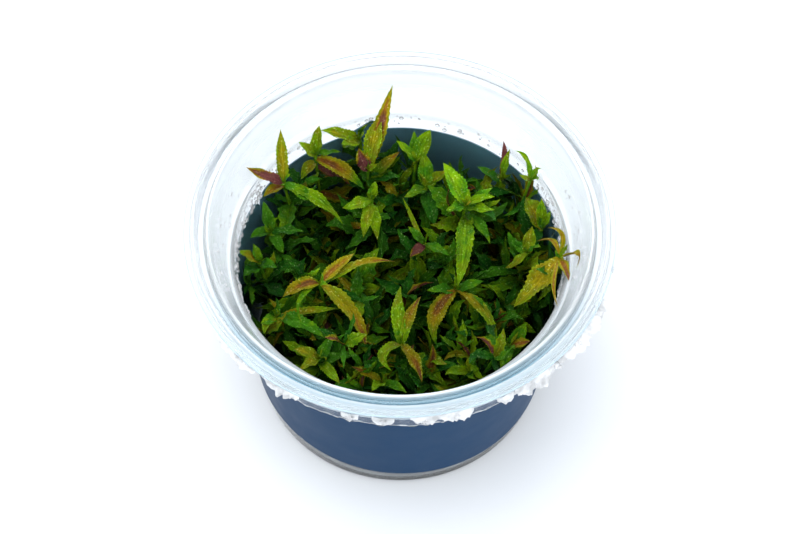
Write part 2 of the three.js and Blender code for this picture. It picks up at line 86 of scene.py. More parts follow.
# Tall shoots: node, slot, crown, then for each leaf its tip, width, arch, the tints at its base,
# middle and tip, its roll in degrees, its sideways bend and how far below the crown it starts. Arch
# and bend are shares of its length. Values left out at the end of a row are 0.
TALL_SHOOTS = (
    ("shoot_back_tall", "leaf_olive", (-8, 27, 47), (
        (-1.8, 41.5, 63, 3.4, 0.02, 0.66, 1.2, 0.6, 10),
        (-4.8, 37, 57, 4, 0.2, 0.6, 0.62, 0.66, -10),
        (-10.2, 30, 52.5, 3.2, 0.1, 1.15, 1.15, 0.8, -20, 0.1),
        (0, 30, 51, 3, 0.12, 0.45, 0.52, 0.95, 10, 0, 6),
        (0, 25.5, 46.5, 3.2, 0.15, 0.3, 0.3, 0.4, 0, 0, 4),
    )),
    ("shoot_back_left", "leaf_bright", (-10, 34, 50), (
        (-19.5, 33, 56, 2.8, 0.12, 0.58, 0.61, 0.62, -25),
        (-14.5, 30.5, 53.5, 2.8, 0.1, 0.52, 0.56, 0.58, -20),
        (-14.5, 34, 47.5, 3, 0.15, 0.46, 0.5, 0.5, 0, 0, 2),
    )),
    ("shoot_left_bright", "leaf_bright", (-21, 29, 51), (
        (-19.8, 33.4, 57.5, 2.8, 0.08, 0.58, 0.59, 0.6),
        (-24.8, 28.8, 57, 2.6, 0.08, 0.56, 0.59, 0.58, -25, 0.1),
        (-8.8, 22, 46, 3.3, 0.14, 0.84, 0.95, 0.36, 20, 0.1, 1.5),
        (-24.5, 24.5, 47, 2.8, 0.2, 0.72, 0.66, 0.62, 0, 0, 3),
        (-14.6, 30.7, 50, 1.6, 0.1, 0.45, 0.48, 0.5),
        (-12, 24.3, 43, 2.4, 0.2, 1.1, 1.1, 1, 20, 0.1, 5),
    )),
    ("shoot_left_tall", "leaf_olive", (-28.5, 20.5, 51), (
        (-29, 29, 62, 2.8, 0.05, 0.62, 0.66, 0.68),
        (-37.3, 19.7, 59.5, 2.6, 0.12, 1.2, 1.1, 0.78, -15, 0.1),
        (-33.3, 16, 52, 2.6, 0.15, 0.7, 0.95, 0.62, 0, 0, 1),
        (-14, 12.5, 45, 2.8, 0.2, 0.5, 0.54, 0.56, 10, 0.12, 1),
        (-19.5, 17, 48, 2.8, 0.15, 0.44, 0.48, 0.5, 0, -0.1),
    )),
    ("shoot_left_mid", "leaf_green", (-31.5, 10, 45), (
        (-33.4, 16, 50, 2.6, 0.08, 0.4, 0.42, 0.5),
        (-36.5, 7, 47.5, 2.6, 0.25, 0.38, 0.34, 0.44),
        (-28.5, 5, 43.5, 2.6, 0.25, 0.34, 0.4, 0.44),
        (-23.5, 9.5, 46.5, 2.4, 0.12, 0.34, 0.36, 0.44),
    )),
    ("shoot_left_edge", "leaf_bright", (-34, 0, 47.5), (
        (-38.8, -0.8, 54, 2.4, 0.1, 0.95, 0.6, 0.54),
        (-35.2, 2.2, 52.5, 2.1, 0.08, 0.44, 0.46, 0.5),
        (-37.6, -5, 49.5, 3, 0.15, 0.3, 0.34, 0.42, 0, 0, 2),
        (-29.5, -2, 48.5, 2.6, 0.15, 0.34, 0.4, 0.46, 0, 0, 1),
    )),
    ("shoot_centre_left", "leaf_yellow", (-7, 17, 49), (
        (-14, 14, 50, 3, 0.12, 0.5, 0.54, 0.58, 0, 0.1),
        (-9, 8, 46, 2.8, 0.25, 0.54, 0.58, 0.62, 0, 0, 1),
        (-5.5, 8, 45, 2.8, 0.25, 0.52, 0.56, 0.6, 0, 0, 2),
        (-6, 20.5, 52, 2.2, 0.1, 0.48, 0.5, 0.5),
    )),
    ("shoot_back_mid", "leaf_bright", (4, 29, 48), (
        (7.6, 36, 52, 3.8, 0.1, 0.5, 0.53, 0.55, 10),
        (3.5, 36, 51.5, 2.4, 0.1, 0.4, 0.48, 0.5, -20, 0, 1),
        (-1, 32, 53, 2.2, 0.1, 0.46, 0.5, 0.54),
    )),
    ("shoot_centre_back", "leaf_bright", (6.5, 22.5, 46), (
        (1, 18.5, 48, 2.8, 0.15, 0.4, 0.48, 0.55, 0, 0.15),
        (6, 30, 50.5, 3.6, 0.1, 0.46, 0.48, 0.52),
        (8.5, 13, 43.5, 3.8, 0.15, 0.34, 0.3, 0.36, 0, 0, 1),
        (12, 26, 49, 2.4, 0.1, 0.5, 0.56, 0.8),
    )),
    ("shoot_star", "leaf_bright", (16, 14, 51), (
        (10.5, 22.6, 57, 4.1, 0.06, 0.5, 0.48, 0.5),
        (22.5, 17, 54.5, 2.4, 0.12, 0.4, 0.42, 0.48, 0, 0, 2),
        (23, 12.5, 51.5, 2.3, 0.14, 0.48, 0.5, 0.55, 0, -0.1, 1),
        (11.2, 12.2, 51.5, 2.5, 0.12, 0.46, 0.5, 0.5),
        (13.8, -6.4, 47, 3.9, 0.14, 0.52, 0.5, 0.56, 0, 0.06, 4.5),
        (21.9, 5.9, 46.5, 2.5, 0.2, 0.42, 0.44, 0.52, 0, 0.1, 3.5),
        (23, 15, 53.5, 2, 0.12, 0.5, 0.52, 0.52, 0, 0.1),
    )),
    ("shoot_right_back", "leaf_dark", (25, 23.5, 48), (
        (25.3, 29.3, 57, 1.7, 0.06, 1.1, 1.15, 1.15, 0, -0.1),
        (26.9, 27.4, 56, 1.8, 0.06, 0.56, 0.5, 0.55),
        (28.8, 24, 44.5, 3.4, 0.15, 0.1, 0.12, 0.25),
        (19, 25.5, 51, 2.2, 0.12, 0.3, 0.36, 0.5, 0, 0, 1),
    )),
    ("shoot_right_hook", "leaf_bright", (31.8, 20, 53), (
        (27.8, 25.9, 57.5, 1.4, 0.15, 0.48, 0.56, 0.5, 0, -0.35),
        (34.3, 20.8, 57, 1, 0.3, 0.5, 0.5, 0.56, 0, 0.3),
    )),
    ("shoot_right_fork", "leaf_olive", (34.5, 9.5, 47.5), (
        (34.3, 14.5, 53.5, 2.6, 0.05, 0.5, 0.54, 0.55),
        (37, 11.5, 53, 1.8, 0.05, 0.48, 0.5, 0.52),
        (30.8, 17.5, 49.5, 4.2, 0.15, 0.7, 0.66, 0.6),
        (31, 4.5, 45, 2.6, 0.2, 0.3, 0.3, 0.36, 0, 0, 1),
    )),
    ("shoot_right_lean", "leaf_yellow", (30.5, 1.5, 49.5), (
        (31.8, 6.8, 53, 2.9, 0.08, 0.6, 0.66, 0.62, 0, 0, 1),
        (25.4, -0.6, 46, 1.9, 0.25, 0.58, 0.62, 0.64, 0, 0.25),
        (26.5, 5, 50, 2.2, 0.12, 0.4, 0.44, 0.5, 0, 0, 1),
    )),
    ("shoot_right_yellow", "leaf_yellow", (37.8, -3, 54.5), (
        (35, 3, 58.5, 1.2, 0.25, 0.72, 0.72, 0.76, 0, -0.6),
        (26.9, -13.8, 50, 4.9, 0.08, 0.74, 0.68, 0.62, 0, 0.05),
        (41.3, -9.5, 60.5, 1.6, 0.3, 0.74, 0.78, 0.86, 0, 0.65),
        (32.7, 2.6, 53, 1.1, 0.3, 0.7, 0.72, 1, 0, -0.5),
        (40, -11.5, 57.5, 2.3, 0.1, 0.7, 0.95, 0.98),
        (36.5, -19, 59, 1, 0.12, 0.74, 0.8, 0.88, 0, -0.15),
    )),
    ("shoot_left_yellow", "leaf_brown", (-19, -8, 51), (
        (-27.8, -11.2, 50, 3.1, 0.25, 0.85, 0.88, 0.68, 0, -0.1),
        (-23, -17.5, 48.5, 1.1, 0.2, 0.56, 0.52, 0.5, 0, -0.5),
        (-10.9, -0.8, 53, 2.7, 0.1, 0.88, 0.85, 0.68),
        (-1.2, -1.5, 50.3, 2.2, 0.22, 0.52, 0.62, 0.98, 0, 0.15, 2),
        (-8, -23, 46, 3.3, 0.1, 0.72, 0.57, 0.97, 0, 0.2),
    )),
    ("shoot_centre_low", "leaf_olive", (13.3, -6, 44.5), (
        (8.8, -19.9, 42, 3.7, 0.2, 0.76, 1.05, 0.4, -20, -0.34),
        (20.6, -25, 42.5, 2.3, 0.25, 0.76, 0.58, 0.58, 0, 0.4),
        (20, -5.5, 48, 2.4, 0.15, 0.4, 0.44, 0.5, 0, 0, 1),
        (6.5, -7.5, 47, 2.4, 0.15, 0.4, 0.42, 0.5, 0, 0, 1),
    )),
    ("shoot_front_curl", "leaf_brown", (0.4, -22.6, 47.5), (
        (-1.9, -30.2, 48.5, 2.4, 0.2, 0.62, 0.6, 0.56, 0, -0.8),
        (5.1, -32, 46.5, 2.6, 0.15, 0.6, 0.85, 0.95, 0, 0.1),
        (0.2, -7.6, 49, 3, 0.12, 0.46, 0.56, 0.62, 0, 0.1, 2),
        (5, -9.8, 48, 2.4, 0.12, 0.56, 0.66, 0.95, 0, 0.1, 1),
    )),
    ("shoot_front_left", "leaf_green", (-29.5, -14.7, 46.5), (
        (-33, -17.8, 49, 2.7, 0.12, 0.42, 0.46, 0.5, 0, 0.15),
        (-18, -20.6, 47.5, 3.3, 0.15, 0.4, 0.42, 0.5, 0, 0.1),
        (-14.8, -12.8, 47.5, 2, 0.1, 0.95, 0.56, 0.54, 0, 0, 0.5),
        (-32.4, -21, 49, 2.2, 0.12, 0.55, 0.6, 0.58, 0, -0.1),
    )),
    ("shoot_front_low", "leaf_olive", (-19, -25.4, 45.5), (
        (-24.8, -24.2, 48.3, 2.5, 0.2, 0.6, 0.64, 0.66),
        (-23.3, -29.2, 47.3, 2.4, 0.2, 0.6, 0.66, 0.68),
        (-15.8, -20.7, 48, 2.7, 0.1, 0.38, 0.42, 0.46, 0, 0, 1),
        (-14, -33.3, 48.3, 2.5, 0.15, 0.52, 0.56, 0.58, 0, 0, 2),
        (-10, -25.5, 48, 2.4, 0.12, 0.4, 0.44, 0.5, 0, 0, 2),
    )),
    ("shoot_front_mid", "leaf_bright", (-4, -30, 42), (
        (-6.5, -34.8, 47.5, 2.4, 0.15, 0.5, 0.55, 0.55),
        (1.5, -34.5, 46, 2.2, 0.15, 0.44, 0.46, 0.5),
        (-11.5, -27.6, 46, 2, 0.15, 0.6, 0.7, 1),
    )),
    ("shoot_front_right", "leaf_green", (26, -22, 45.5), (
        (29.6, -18.6, 51, 3.8, 0.05, 0.44, 0.46, 0.5, 0, 0, 5),
        (23.5, -28.5, 47, 2.8, 0.12, 0.42, 0.48, 0.52),
        (31, -23, 49.3, 2.4, 0.15, 0.7, 0.8, 0.98),
        (19, -21, 48, 2.4, 0.15, 0.4, 0.44, 0.5, 0, 0, 1),
    )),
    ("shoot_centre", "leaf_plum", (6, 6, 46), (
        (0.6, 18.5, 48, 1.1, 0.06, 0.66, 0.62, 0.58, 0, 0, 2),
        (2.4, 2.2, 46.5, 2.3, 0.1, 1.1, 1.15, 1),
        (12, 2, 47.5, 2.2, 0.12, 0.44, 0.4, 0.46),
        (2, 9, 49.5, 2, 0.1, 0.4, 0.46, 0.5),
    )),
)

# Their leaves' width over the table's, and the least and greatest of what varies by seed
TALL_LEAF_WIDTH = 1.08
TALL_RANGES = (
    ("twist", -0.25, 0.25), ("fold", 0.25, 0.6), ("wave", 0.08, 0.18), ("phase", 0, TURN))

# Shoots between them, on the spiral that the frame's own solids stand on: lowest crown and its
# range, least climb of a leaf in degrees and its range, least leaf length and its range
FILL_SPOTS = 33
FILL_RADIUS = 33
FILL_LEAVES = 5
FILL_CROWN = (33, 9)
FILL_CLIMB = (15, 50)
FILL_LENGTH = (7.5, 4)

# Fill shoots by the front wall, beyond this distance from the middle, have higher side stems
FRONT_REACH = 24
FRONT_LIFT = 6

# Least and greatest of what varies by seed in scattered leaves, with the width as a share of length
LEAF_RANGES = (
    ("arch", 0.0, 0.4), ("bend", -0.35, 0.35), ("width", 0.18, 0.36), ("roll", -1.1, 1.1),
    ("twist", -1.6, 1.6), ("fold", 0.15, 0.7), ("wave", 0.05, 0.2), ("phase", 0, TURN))
LEAF_THICKNESS = 0.16

# Stems: the foot's distance from the middle as a share of the crown's, its depth in the gel, the
# rings, and what has no whorls at the foot and, on tall shoots, at the top, in millimetres
FOOT_SHARE = 0.8
FOOT_DEPTH = 5
STEM_RINGS = 12
BARE_FOOT = 8
BARE_TOP = 3

# Leaves stay this far from the wall, and are eased in over a further distance, in millimetres
WALL_MARGIN = 0.5
WALL_EASE = 2.0

# The tub in millimetres: height where its inner side meets the floor's corner, how far the taper
# above the ledge and the lip's top are over the ledge, and the lip's radius over the taper's
FLOOR_CORNER = 3
TAPER_RISE = 5.5
LIP_RISE = 11
LIP_TAPER = 1.4

# The flange's upper face, the radius of the tub's rounded edges, and points on each of them
FLANGE_TOP = 65.2
EDGE_RADIUS = 0.45
CORNER_POINTS = 4

# The tub's plastic at radii in millimetres, from its clear side over lip, groove, ridge and flange:
# the share that scatters light, and the share of the frosted tint in front, which is painted shade
# in place of the navy label and shade seen through the rim
FROST = (
    (39.4, 0.0, 0.0), (39.6, 0.5, 0.1), (40.8, 0.42, 0.35), (43.4, 0.5, 0.35), (44.5, 0.6, 0.2),
    (44.8, 0.6, 0.1), (45.5, 0.6, 0.1), (45.9, 0.22, 1.0), (47.1, 0.22, 1.0), (47.4, 0.45, 0.25),
    (48.9, 0.35, 0.3), (49.3, 0.2, 0.3), (50.5, 0.3, 0.2))

# The frost and the painted shade of its tint in millimetres: between which depths in front of the
# middle they grow, and how far under the ledge the frost begins and is full. Then how far inside
# the flange's radius its edge, a line of painted shade, begins to show and shows in full, and how
# strongly.
FROST_DEPTHS = (15, 40)
FROST_UNDER = (3, 2)
PAINTED_EDGE_LINE = (0.3, 0.15)
PAINTED_EDGE_STRENGTH = 0.6

# Painted light and shade on the leaves' colour: from one height in millimetres to another it goes
# from one share to another, and the two rows are added up
PAINTED_LEAF_LIGHT = ((29, 55, 0.12, 0.88), (51, 60, 0.0, 0.5))

# Gaps to the tub and thicknesses in millimetres
LABEL_GAP = 0.28
LABEL_THICKNESS = 0.25
GEL_GAP = 1.15
FILM_THICKNESS = 0.2
SCRAP_THICKNESS = 0.12

# The label's torn tab: its height in millimetres, and where it starts, is highest and ends, in
# degrees
TAB_RISE = 4
TAB_FIRST = 96
TAB_PEAK = 100
TAB_LAST = 112

# Clear strips of film: name, node, start and end in degrees, share of the hang, seed
FILM_STRIPS = (
    ("film_strip", "seal_film", 231, 309, 1.0, 3), ("film_end", "seal_film_end", 313, 334, 0.7, 5))
FILM_LEAST = 0.5

# White strips of torn film round the rim: start and end in degrees from +X, then the height of the
# upper edge, the drop, and how far the lower edge stands out, in millimetres
TORN_STRIPS = (
    (215, 230, 64.1, 1.3, 2.2), (232.8, 243.5, 64.0, 3.4, 0.9), (254.8, 259.4, 63.2, 3.2, 0.3),
    (262.8, 268.6, 63.4, 3.8, 0.4), (272.6, 280.5, 64.1, 3.4, 0.7), (279.5, 289, 64.0, 4.2, 0.9),
    (295.5, 301.5, 63.4, 3.6, 0.5), (300.5, 314.2, 64.1, 4.2, 2.0), (314.6, 337, 64.1, 1.5, 3.4))

# White scraps on them: degrees from +X, height in millimetres, width along the rim, drop, and how
# far they lean outwards in degrees
SCRAPS = (
    (225.0, 64.5, 3.4, 1.0, 20), (236.0, 63.8, 2.2, 2.0, 10), (257.0, 62.6, 2.0, 1.8, 5),
    (266.0, 62.4, 2.2, 1.6, 8), (276.5, 62.6, 2.4, 1.6, 15), (284.0, 62.6, 2.8, 1.8, 10),
    (302.5, 62.4, 2.2, 1.8, 15), (308.0, 63.2, 3.2, 2.2, 30), (313.8, 63.8, 2.6, 2.4, 50),
    (322.0, 64.2, 3.0, 2.2, 60), (332.0, 64.0, 3.4, 2.4, 62), (346.0, 64.8, 1.8, 1.2, 60),
)
SCRAP_CORNERS = 9
SCRAP_SEED = 31

# Droplets on the wall: first and last angle in degrees, least and greatest height, number
DROPLETS = (
    (150, 205, 48.0, 53.6, 220), (-20, 28, 48.0, 53.6, 190), (28, 150, 49.5, 53.4, 60),
    (160, 200, 55.5, 59.5, 24), (-15, 20, 55.5, 59.5, 20))
DROPLET_SEED = 11

# Soft lights: side of the square and place in metres. Then half the floor's side in metres, and the
# colour of the surroundings.
KEY_LIGHT = (1.1, (-0.25, 0.04, 1.0))
FILL_LIGHT = (0.9, (0.6, -0.5, 0.8))
FLOOR_HALF = 3.0
SKY_COLOUR = (0.93, 0.96, 1.0, 1)


def length_property(name, description, millimetres):
    """A length that the panel shows in the scene's unit."""
    return FloatProperty(
        name=name, description=description, default=millimetres * MM, unit="LENGTH", precision=5)


def angle_property(name, description, degrees):
    """An angle that the panel shows in degrees."""
    return FloatProperty(
        name=name, description=description, default=math.radians(degrees), subtype="ANGLE")


def colour_property(name, description, code):
    """A colour from a web code, turned from display to linear values."""
    shown = [int(code[i:i + 2], 16) / 255 for i in (1, 3, 5)]
    linear = [s / 12.92 if s <= 0.04045 else ((s + 0.055) / 1.055) ** 2.4 for s in shown]
    return FloatVectorProperty(
        name=name, description=description, default=linear, size=3, min=0, max=1, subtype="COLOR")


class TubSettings(bpy.types.PropertyGroup):
    """Sizes and finish of the clear tub."""

    flange: length_property("Flange radius", "Outer radius of the rim's flange", 50.5)
    height: FloatProperty(
        name="Height", description="Height of the rim's ridge", default=CAD_BOX[1][2],
        unit="LENGTH")
    wall: length_property("Wall", "Thickness of the plastic", 0.8)
    foot: length_property("Foot radius", "Outer radius of the side carried down to the floor", 36)
    flare: FloatProperty(name="Flare", description="Widening of the side per height", default=0.082)
    ledge: length_property("Ledge height", "Height of the stacking ledge", 54)
    ledge_radius: length_property("Ledge radius", "Inner radius above the ledge", 40.95)
    lip: length_property("Lip radius", "Inner radius at the mouth", 44.85)
    colour: colour_property("Plastic", "Tint of the clear plastic", "#F7FBFD")
    # The frosted tint is painted shade, laid on the rim's front and on the flange's edge
    frosted: colour_property("Frosted plastic", "Tint of the frosted rim", "#9CC6D8")
    haze: FloatProperty(name="Haze", description="Roughness of the plastic", default=0.07)


class LabelSettings(bpy.types.PropertyGroup):
    """Sizes and colour of the wrap-round label."""

    top: length_property("Top", "Height of the upper edge", 47)
    low: length_property("Low", "Mean height of the lower edge", 7.6)
    tilt: length_property("Tilt", "Rise and fall of the lower edge", -1.5)
    corner: length_property("Corner", "Radius of the rounded corners", 3.5)
    start: angle_property("Start", "Where the label's first end lies", -208.2)
    end: angle_property("End", "Where the label's second end lies", 151.5)
    colour: colour_property("Navy", "Colour of the label", "#0D3557")
    # The slate is brightened by painted light, for what reaches the inner side through the wall
    back: colour_property("Slate", "Colour of the label's inner side", "#6A98A4")


class FilmSettings(bpy.types.PropertyGroup):
    """Sizes and colour of the torn sealing film."""

    radius: length_property("Radius", "Radius that the torn strip hangs at", 49.25)
    top: length_property("Top", "Height of the strip's upper edge", 64)
    hang: length_property("Hang", "How far the strip hangs down", 4.2)
    colour: colour_property("White", "Colour of the film's scraps", "#F6F8FA")


class PlantSettings(bpy.types.PropertyGroup):
    """Sizes and colours of the shoots and the gel."""

    gel_top: length_property("Gel depth", "Height of the gel's surface", 14)
    stem: length_property("Stem radius", "Radius of a stem", 0.55)
    whorl_gap: length_property("Whorl gap", "Height from one whorl of leaves to the next", 5.2)
    leaf: length_property("Leaf length", "Length of a lower leaf", 10.5)
    seed: IntProperty(name="Seed", description="Start of the scattered leaves", default=7)
    # Dark blue-grey: painted shade for the shadow and navy label seen through the gel
    gel: colour_property("Gel", "Colour of the nutrient gel", "#13242E")
    shade: colour_property("Shade", "Leaves in deep shade", "#020F01")
    deep: colour_property("Deep green", "Old leaves", "#072A0F")
    green: colour_property("Green", "Full-grown leaves", "#1B5213")
    bright: colour_property("Bright green", "Young leaves", "#386E10")
    lime: colour_property("Lime", "Youngest leaves", "#66890A")
    olive: colour_property("Olive", "Leaves on the turn", "#667010")
    yellow: colour_property("Yellow", "Yellowed leaves", "#7E700E")
    orange: colour_property("Orange", "Leaves that redden", "#74491A")
    brown: colour_property("Brown", "Browned leaves", "#5A3A1E")
    maroon: colour_property("Maroon", "Leaf undersides", "#613434")


class StudioSettings(bpy.types.PropertyGroup):
    """Floor, lights and camera."""

    floor: colour_property("Floor", "Colour of the studio floor", "#E5E8EB")
    key: FloatProperty(name="Key light", description="Power of the main soft light", default=8.5)
    fill: FloatProperty(
        name="Fill light", description="Power of the second soft light", default=3.0)
    sky: FloatProperty(name="Sky", description="Strength of the white surroundings", default=1.18)
    camera_y: length_property("Camera distance", "How far in front the camera stands", 241.8)
    camera_z: length_property("Camera height", "Height of the camera", 444.5)
    pitch: angle_property("Pitch", "Camera's slope below level", 58.79)
    lens: FloatProperty(name="Lens", description="Focal length in millimetres", default=86.75)


class CupSettings(bpy.types.PropertyGroup):
    """All settings of the cup."""

    tub: PointerProperty(type=TubSettings)
    label: PointerProperty(type=LabelSettings)
    film: PointerProperty(type=FilmSettings)
    plant: PointerProperty(type=PlantSettings)
    studio: PointerProperty(type=StudioSettings)


# Meshes


def lengths(settings, *names):
    """The named lengths of a settings group in millimetres."""
    return [getattr(settings, name) / MM for name in names]


def unit(vectors):
    """Vectors divided by their own lengths."""
    return vectors / np.maximum(np.linalg.norm(vectors, axis=-1, keepdims=True), 1e-9)


def around(sides):
    """Evenly spaced turns, one for each side of a ring."""
    return np.arange(sides) * TURN / sides


def polar(radius, turn, height):
    """Points (r cos t, r sin t, h), from numbers or from arrays that match."""
    return np.stack(np.broadcast_arrays(
        radius * np.cos(turn), radius * np.sin(turn), height), axis=-1)


def add_piece(name, shapes, material, replaced=(), crease=50):
    """One closed mesh from rings of points.

    A shape is (points, marks). Points have the axes tube, ring, place on the ring, xyz. A quad
    joins each two neighbours on a ring to the same two of the next ring, and a flat face closes
    each end.
    """
    coordinates, marks, loops, sizes = [], [], [], []
    first = 0
    for points, mark in shapes:
        tubes, rings, sides = points.shape[:3]
        index = first + np.arange(tubes * rings * sides).reshape(tubes, rings, sides)
        beside = np.roll(index, -1, axis=2)
        quads = np.stack([index[:, :-1], beside[:, :-1], beside[:, 1:], index[:, 1:]], axis=-1)
        caps = np.concatenate([index[:, 0, ::-1], index[:, -1]])
        loops += [quads.ravel(), caps.ravel()]
        sizes += [np.full(quads.size // 4, 4), np.full(len(caps), sides)]
        coordinates.append(points.reshape(-1, 3))
        marks.append(np.broadcast_to(mark, points.shape).reshape(-1, 3))
        first += index.size
    loops, sizes = np.concatenate(loops), np.concatenate(sizes)
    mesh = bpy.data.meshes.new(name)
    mesh.vertices.add(first)
    mesh.vertices.foreach_set("co", (np.concatenate(coordinates) * MM).astype(np.float32).ravel())
    mesh.loops.add(len(loops))
    mesh.loops.foreach_set("vertex_index", loops.astype(np.int32))
    mesh.polygons.add(len(sizes))
    mesh.polygons.foreach_set("loop_start", (np.cumsum(sizes) - sizes).astype(np.int32))
    mesh.update(calc_edges=True)
    mesh.validate()
    mesh.shade_smooth()
    mesh.set_sharp_from_angle(angle=math.radians(crease))
    growth = mesh.attributes.new("growth", "FLOAT_VECTOR", "POINT")
    growth.data.foreach_set("vector", np.concatenate(marks).astype(np.float32).ravel())
    mesh.materials.append(material)
    piece = bpy.data.objects.new(name, mesh)
    bpy.context.scene.collection.objects.link(piece)
    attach(piece, BODY)
    if replaced:
        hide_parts(*replaced)


def turned(profile, sides):
    """A profile of (radius, height) turned round Z: x = r cos t, y = r sin t, z = h."""
    radius, height = np.asarray(profile, float).T[..., None]
    return polar(radius, around(sides), height)[None]


def rounded(profile, radius):
    """A profile with its corners rounded.

    Each corner P becomes the curve (1-t)^2 A + 2t(1-t) P + t^2 B, where A and B lie at the given
    radius along its two sides, or at 0.4 of a shorter side.
    """
    points = np.asarray(profile, float)
    before, corner, after = points[:-2], points[1:-1], points[2:]
    reach_in = np.minimum(radius, 0.4 * np.linalg.norm(before - corner, axis=1))[:, None]
    reach_out = np.minimum(radius, 0.4 * np.linalg.norm(after - corner, axis=1))[:, None]
    start = corner + unit(before - corner) * reach_in
    end = corner + unit(after - corner) * reach_out
    t = np.linspace(0, 1, CORNER_POINTS)[None, :, None]
    bend = (1 - t) ** 2 * start[:, None] + 2 * t * (1 - t) * corner[:, None] + t ** 2 * end[:, None]
    return np.concatenate([points[:1], bend.reshape(-1, 2), points[-1:]])


def side_radius(tub, height):
    """Outer radius of the tub's side: foot + flare × height."""
    return tub.foot / MM + tub.flare * height


def room(tub, height):
    """Inner radius of the tub at a height, straight between the side, the ledge and the lip."""
    wall, ledge, ledge_radius, lip = lengths(tub, "wall", "ledge", "ledge_radius", "lip")
    heights = [FLOOR_CORNER, ledge, ledge + 0.6, ledge + TAPER_RISE, ledge + LIP_RISE]
    radii = [
        side_radius(tub, FLOOR_CORNER) - wall, side_radius(tub, ledge) - wall, ledge_radius,
        lip - LIP_TAPER, lip]
    return np.interp(height, heights, radii)


def keep_inside(tub, points):
    """Points eased in from the wall.

    With M = room - margin and L = M - ease, a radius r past L becomes
    M - ease × exp((L - r) / ease).
    """
    reach = np.hypot(points[..., 0], points[..., 1])
    limit = room(tub, points[..., 2]) - WALL_MARGIN
    past = np.maximum(reach - (limit - WALL_EASE), 0)
    eased = np.where(past > 0, limit - WALL_EASE * np.exp(-past / WALL_EASE), reach)
    points[..., :2] *= (eased / np.maximum(reach, 1e-9))[..., None]
    return points


def swept(path, radius, sides):
    """Tubes along paths: point = path + radius (cos t · across + sin t · (heading × across)).

    The path has the axes tube, ring, xyz, and the radius tube, ring.
    """
    heading = unit(np.gradient(path, axis=1))
    across = unit(np.cross([0.0, 1.0, 0.0], heading))
    other = np.cross(heading, across)
    turn = around(sides)[None, None, :, None]
    spread = np.cos(turn) * across[:, :, None] + np.sin(turn) * other[:, :, None]
    return path[:, :, None] + radius[:, :, None, None] * spread


def band(angle, low, high, radius, thickness, rows):
    """A strip round the tub as one tube whose rings are its cross-sections.

    The outer side runs from the upper edge to the lower, and the inner side back up. Point =
    (R cos a, R sin a, h), where R is the radius at height h, plus the thickness on the outer side.
    """
    share = np.linspace(1, 0, rows)
    share = np.concatenate([share, share[::-1]])
    outer = np.concatenate([np.ones(rows), np.zeros(rows)])
    height = low[:, None] + (high - low)[:, None] * share
    return polar(radius(height) + thickness * outer, angle[:, None], height)[None]


def faded(count, inset):
    """Shares sin(pi s)^0.4 that fall off towards both ends, with s from the inset to 1 - inset."""
    return np.sin(np.pi * np.linspace(inset, 1 - inset, count)) ** 0.4


def ragged(angle, seed, step, height):
    """A torn edge: straight lines between seeded random heights, one for each step of angle."""
    draw = np.random.default_rng(seed)
    knots = np.arange(angle[0] - step, angle[-1] + 2 * step, step)
    knots[1:-1] += draw.uniform(-0.4, 0.4, len(knots) - 2) * step
    return height * np.interp(angle, knots, draw.uniform(-1, 1, len(knots)))


# Leaves

LEAF_FIELDS = [
    ("start", float, 3), ("end", float, 3), ("arch", float), ("bend", float), ("width", float),
    ("roll", float), ("twist", float), ("fold", float), ("wave", float), ("phase", float),
    ("tint", float, 3)]


def leaf_rows(count):
    """A table with a row of settings for each leaf."""
    return np.zeros(count, LEAF_FIELDS)


def vary(draw, leaves, ranges):
    """Seeded values for each named field of a table of leaves, between its least and greatest."""
    for field, least, greatest in ranges:
        leaves[field] = draw.uniform(least, greatest, len(leaves))


